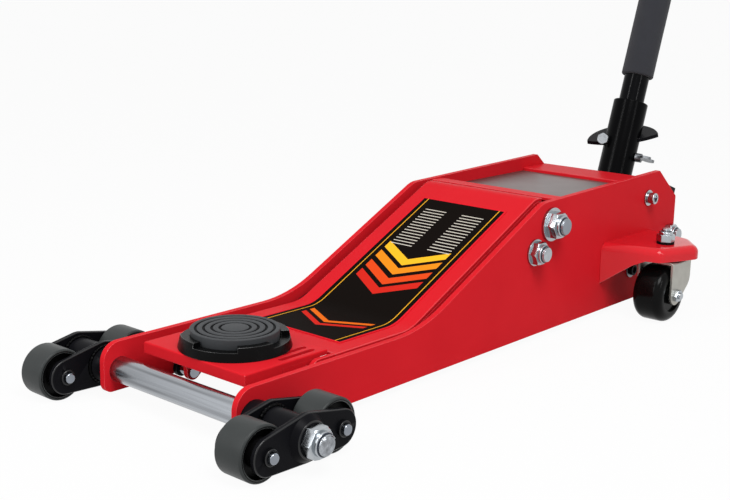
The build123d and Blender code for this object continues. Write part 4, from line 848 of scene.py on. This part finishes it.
def threads(name, body, ends):
    """Threads at several places on one body: (origin, direction, radius, length) with sizes in mm."""
    made = []
    for origin, direction, radius, length in ends:
        coil = grown(thread_tree, wire([Vector()]), Radius=(radius - THREAD_SINK) * MM,
                     Pitch=THREAD_PITCH * MM, Length=length * MM)
        made.append(stood(coil, origin, direction))
    finished(name, joined(made), [], body)
    print(name, len(made))


threads("bolt_threads", "frame", [
    (origin + Vector(direction) * THREAD_FROM * MM, direction, radius, THREAD_LONG)
    for origin, direction, radius in nut_ends])
for hand, way in SIDES:
    origin = at(CASTER_AXLE[0], way * CASTER_AXLE[1], CASTER_AXLE[2])
    threads("caster_threads_" + hand, body_of["caster_axle_" + hand],
            [(origin, (0, way, 0), CASTER_THREAD, CASTER_THREAD_LONG)])

# %% [markdown]
# ## Weld beads
# The bogie's tube is welded to its plates all the way round, before painting. A hand-laid bead is a row
# of overlapping puddles, so its thickness rises and falls every few millimetres and never quite evenly.
# A plain ring with a bump would look cast, so the tree takes the seam as a run of edges, cuts it into
# short equal steps, and sweeps a circle along it whose size follows a wave with some noise in it.

# %% A tree for weld beads
BEAD_STEP, UNEVEN_EVERY = 0.6, 5                            # in millimetres
BEAD_LEAST, UNEVEN_SHARE, WAVE_SHARE = 0.75, 0.5, 0.13      # of the bead's size
bead_tree, given, result = sized_tree("weld_bead", "Bead", "Puddle")
seam = add(bead_tree, "GeometryNodeMeshToCurve", {"Mesh": given["Geometry"]})
cut = add(bead_tree, "GeometryNodeResampleCurve",
          {"Curve": seam.outputs["Curve"], "Length": BEAD_STEP * MM}, mode="LENGTH")
walked = add(bead_tree, "GeometryNodeSplineParameter").outputs["Length"]
puddle = add(bead_tree, "ShaderNodeMath", {0: walked, 1: given["Puddle"]}, operation="DIVIDE")
phase = add(bead_tree, "ShaderNodeMath", {0: puddle.outputs["Value"], 1: 2 * math.pi},
            operation="MULTIPLY")
wave = add(bead_tree, "ShaderNodeMath", {0: phase.outputs["Value"]}, operation="SINE")
spot = add(bead_tree, "GeometryNodeInputPosition").outputs["Position"]
uneven = add(bead_tree, "ShaderNodeTexNoise", {"Vector": spot, "Scale": per(UNEVEN_EVERY), "Detail": 1.0})
swell = add(bead_tree, "ShaderNodeMath", {0: uneven.outputs["Fac"], 1: UNEVEN_SHARE, 2: BEAD_LEAST},
            operation="MULTIPLY_ADD")
size = add(bead_tree, "ShaderNodeMath",
           {0: wave.outputs["Value"], 1: WAVE_SHARE, 2: swell.outputs["Value"]}, operation="MULTIPLY_ADD")
section = add(bead_tree, "GeometryNodeCurvePrimitiveCircle", {"Resolution": 10, "Radius": given["Bead"]})
bead = add(bead_tree, "GeometryNodeCurveToMesh", {
    "Curve": cut.outputs["Curve"], "Profile Curve": section.outputs["Curve"],
    "Scale": size.outputs["Value"], "Fill Caps": True})
ended(bead_tree, result, bead.outputs["Mesh"], gloss_black)

# %% Weld beads
AXLE_HEIGHT, SEAM_RADIUS = 28.4, 17.4       # the seam lies just outside the bogie's tube
BOGIE_SEAMS = (112.9, 119.1, 154.9)
SEAM_STEPS = 48
BEAD, PUDDLE = 2.2, 3.8
seam_angles = [2 * math.pi * i / SEAM_STEPS for i in range(SEAM_STEPS)]
for hand, way in SIDES:
    loops = []
    for y in BOGIE_SEAMS:
        loop = [at(SEAM_RADIUS * math.cos(a), way * y, AXLE_HEIGHT + SEAM_RADIUS * math.sin(a))
                for a in seam_angles]
        loops.append(loop + loop[:1])
    beads = grown(bead_tree, wire(*loops), Bead=BEAD * MM, Puddle=PUDDLE * MM)
    piece = finished("bogie_welds_" + hand, beads, [], body_of["bogie_" + hand])
    print(piece.name, len(piece.data.polygons), "faces")

# %% [markdown]
# ## The printed label
# A strip of printed film lies on top of the lift arm, from the flat front over the bend and up the slope.
# The print here is a plain design of stripes. It has to follow the bend, so it can't be laid on from
# above: the strip gets a UV map that measures the way along the film and across it, in units of 100 mm.
# Each ink is then a mask made from these two numbers, printed over the inks before it.

# %% Film, and a ruler on it
UNIT = 100.0
LABEL_HALF, LABEL_LONG, FILM_CLOUD = 59.0, 292.4, 40
BLACK, RED = "#130f0d", "#c8281f"
# printed film: a warm black that stays dark in a bright room, with inks that have no glare of their own
label_film, tree, shader = start("printed_film", BLACK, Specular_IOR_Level=0.002)
film = add(tree, "ShaderNodeUVMap", uv_map="film")
split = add(tree, "ShaderNodeSeparateXYZ", {"Vector": film.outputs["UV"]})
along, across = split.outputs["X"], split.outputs["Y"]
aside = add(tree, "ShaderNodeMath", {0: across}, operation="ABSOLUTE").outputs["Value"]
place = add(tree, "ShaderNodeTexCoord").outputs["Object"]
cloud = add(tree, "ShaderNodeTexNoise", {"Vector": place, "Scale": per(FILM_CLOUD), "Detail": 3.0})
gloss = add(tree, "ShaderNodeMapRange", {"Value": cloud.outputs["Fac"], "To Min": 0.30, "To Max": 0.42})
tree.links.new(gloss.outputs["Result"], shader.inputs["Roughness"])

# %% Chevrons
CHEVRON_SLANT, CHEVRON_HALF = -0.55, 43.0
STRIPES = [   # where each stripe begins, as a share of the length, and its colour
    (0.06, BLACK), (0.09, RED), (0.115, BLACK), (0.135, "#e0691c"), (0.16, BLACK),
    (0.40, RED), (0.44, BLACK), (0.46, "#d9481d"), (0.50, BLACK), (0.52, "#e8871e"),
    (0.56, BLACK), (0.58, "#f0b429"), (0.62, BLACK),
]
slant = add(tree, "ShaderNodeMath", {0: aside, 1: CHEVRON_SLANT, 2: along}, operation="MULTIPLY_ADD")
reach = add(tree, "ShaderNodeMath", {0: slant.outputs["Value"], 1: LABEL_LONG / UNIT}, operation="DIVIDE")
chevrons = add(tree, "ShaderNodeValToRGB", {"Fac": reach.outputs["Value"]})
ramp = chevrons.color_ramp
ramp.interpolation = "CONSTANT"
for share, code in STRIPES:
    ramp.elements.new(share).color = linear(code)
for end in (0, len(ramp.elements) - 1):
    ramp.elements[end].color = linear(BLACK)
inner = add(tree, "ShaderNodeMath", {0: aside, 1: CHEVRON_HALF / UNIT}, operation="LESS_THAN")
print(len(STRIPES), "stripe edges")

# %% Ruled lines, a thin line down each side, and a border
RULE_EVERY, RULE_WIDE = 5.2, 1.3
BLOCK_ASIDE, BLOCK_HALF = 26.0, 15.0            # two blocks of ruled lines, across the film
BLOCK_ALONG, BLOCK_HALF_LONG = 236.0, 36.0      # and along it
LINE_ASIDE, LINE_HALF = 50.5, 0.6
BORDER_WIDE = 2.2
row = add(tree, "ShaderNodeMath", {0: along, 1: RULE_EVERY / UNIT}, operation="MODULO")
ruled = add(tree, "ShaderNodeMath", {0: row.outputs["Value"], 1: RULE_WIDE / UNIT}, operation="LESS_THAN")
for middle, half, way in ((BLOCK_ASIDE, BLOCK_HALF, aside), (BLOCK_ALONG, BLOCK_HALF_LONG, along)):
    within = add(tree, "ShaderNodeMath", {0: way, 1: middle / UNIT, 2: half / UNIT}, operation="COMPARE")
    ruled = add(tree, "ShaderNodeMath", {0: ruled.outputs["Value"], 1: within.outputs["Value"]},
                operation="MULTIPLY")
line = add(tree, "ShaderNodeMath", {0: aside, 1: LINE_ASIDE / UNIT, 2: LINE_HALF / UNIT},
           operation="COMPARE")
sides = add(tree, "ShaderNodeMath", {0: aside, 1: (LABEL_HALF - BORDER_WIDE) / UNIT},
            operation="GREATER_THAN")
middle = add(tree, "ShaderNodeMath", {0: along, 1: LABEL_LONG / 2 / UNIT,
                                      2: (LABEL_LONG / 2 - BORDER_WIDE) / UNIT}, operation="COMPARE")
ends = add(tree, "ShaderNodeMath", {0: 1.0, 1: middle.outputs["Value"]}, operation="SUBTRACT")
border = add(tree, "ShaderNodeMath", {0: sides.outputs["Value"], 1: ends.outputs["Value"]},
             operation="MAXIMUM")

printed = linear(BLACK)
for mask, ink in ((inner, chevrons.outputs["Color"]), (ruled, linear("#c9c2b6")),
                  (line, linear("#e0a32a")), (border, linear("#d5202b"))):
    printed = add(tree, "ShaderNodeMix", {"Factor": mask.outputs["Value"], "A": printed, "B": ink},
                  data_type="RGBA").outputs["Result"]
tree.links.new(printed, shader.inputs["Base Color"])
print("label tree with", len(tree.nodes), "nodes")

# %% [markdown]
# The way along the film is straight on the flat, an arc in the bend, and straight again up the slope, so
# each point of the strip is measured in one of these three ways.

# %% The film on the arm
FLAT_FROM, FLAT_TO = -148.0, -218.9
BEND_RADIUS, SLOPE = 55.0, math.radians(25.95)
FLAT_LONG = FLAT_FROM - FLAT_TO
BEND_LONG = BEND_RADIUS * SLOPE
SLOPE_FROM = FLAT_TO - BEND_RADIUS * math.sin(SLOPE)


def along_film(x):
    """How far along the film, from its front end, a place in X lies."""
    if x > FLAT_TO:
        return FLAT_FROM - x
    if x > SLOPE_FROM:
        return FLAT_LONG + BEND_RADIUS * math.asin(min(1.0, (FLAT_TO - x) / BEND_RADIUS))
    return FLAT_LONG + BEND_LONG + (SLOPE_FROM - x) / math.cos(SLOPE)


label = dressed("label_panel", label_film, 0.15, steps=2)
layer = label.data.uv_layers.new(name="film")
for loop in label.data.loops:
    spot = ruler(label.data.vertices[loop.vertex_index].co)
    layer.data[loop.index].uv = (along_film(spot.x) / UNIT, spot.y / UNIT)
print("film is", round(max(item.uv[0] for item in layer.data) * UNIT, 1), "mm long")

# %% [markdown]
# ## Studio
# A white sweep, two soft lamps and two narrow strips, as for a catalogue. The strips draw the two thin
# streaks down the handle and a bright line along the edges. More light would make the floor white too,
# but it would bleach the paint. So the floor shows white to the camera and in reflections, while for the
# light that falls on it, it is a pale grey paint: the underside of the jack stays dark and a faint shadow
# remains. Lamps and sky together light a level surface about as brightly as its colour is written.

# %% White floor
FLOOR_REACH = 40.0      # in metres
WHITE_SHARE = 0.95
WHITE = linear("#ffffff")


def seen_rays(tree):
    """1 for rays that show the background: to the camera, in a reflection or through something clear."""
    ray = add(tree, "ShaderNodeLightPath").outputs
    seen = ray["Is Camera Ray"]
    for kind in ("Is Glossy Ray", "Is Transmission Ray"):
        seen = add(tree, "ShaderNodeMath", {0: seen, 1: ray[kind]}, operation="MAXIMUM").outputs["Value"]
    return seen


floor_mesh = bpy.data.meshes.new("studio_floor")
corners = [(x * FLOOR_REACH, y * FLOOR_REACH, 0) for x, y in ((-1, -1), (1, -1), (1, 1), (-1, 1))]
floor_mesh.from_pydata(corners, [], [(0, 1, 2, 3)])
floor = placed("studio_floor", floor_mesh)
# matt paper: no glare, only the soft shadow under the jack
sweep, tree, shader = start("white_paper_sweep", "#d4d4d4", Roughness=0.9, Specular_IOR_Level=0.1)
share = add(tree, "ShaderNodeMath", {0: seen_rays(tree), 1: WHITE_SHARE}, operation="MULTIPLY")
white = add(tree, "ShaderNodeEmission", {"Color": WHITE, "Strength": 1.0})
blend = add(tree, "ShaderNodeMixShader", {0: share.outputs["Value"], 1: shader.outputs["BSDF"],
                                          2: white.outputs["Emission"]})
tree.links.new(blend.outputs["Shader"], tree.nodes["Material Output"].inputs["Surface"])
floor_mesh.materials.append(sweep)
print("floor reaches", FLOOR_REACH, "m each way")

# %% Sky
SKY = 0.38
world = bpy.data.worlds.new("studio_sky")
world.use_nodes = True
bpy.context.scene.world = world
tree = world.node_tree
strength = add(tree, "ShaderNodeMapRange", {"Value": seen_rays(tree), "To Min": SKY, "To Max": 1.0})
tree.nodes["Background"].inputs["Color"].default_value = WHITE
tree.links.new(strength.outputs["Result"], tree.nodes["Background"].inputs["Strength"])
bpy.context.scene.view_settings.view_transform = "Standard"
print("sky at", SKY)


# %% Lamps
def softbox(name, place, target, width, height, power):
    """A flat lamp at a place, turned to face a target; its size is in metres and its power in watts."""
    lamp = bpy.data.lights.new(name, "AREA")
    lamp.shape = "RECTANGLE"
    lamp.size = width
    lamp.size_y = height
    lamp.energy = power
    turn = (target - place).to_track_quat("-Z", "Y").to_matrix().to_4x4()
    placed(name, lamp).matrix_world = Matrix.Translation(place) @ turn


ARM_FRONT, JACK_MIDDLE, HANDLE_MIDDLE = at(-200, 0, 60), at(-400, 0, 80), at(-792, 0, 249)
softbox("main_softbox", at(300, 1000, 1750), ARM_FRONT, 0.9, 0.9, 31)
softbox("front_softbox", at(1500, -500, 900), JACK_MIDDLE, 0.8, 0.8, 8)
softbox("near_strip", at(-346, 1661, 778), HANDLE_MIDDLE, 0.10, 0.6, 2.6)
softbox("front_strip", at(727, -358, 1145), HANDLE_MIDDLE, 0.12, 0.8, 5)
print("two softboxes and two strips")
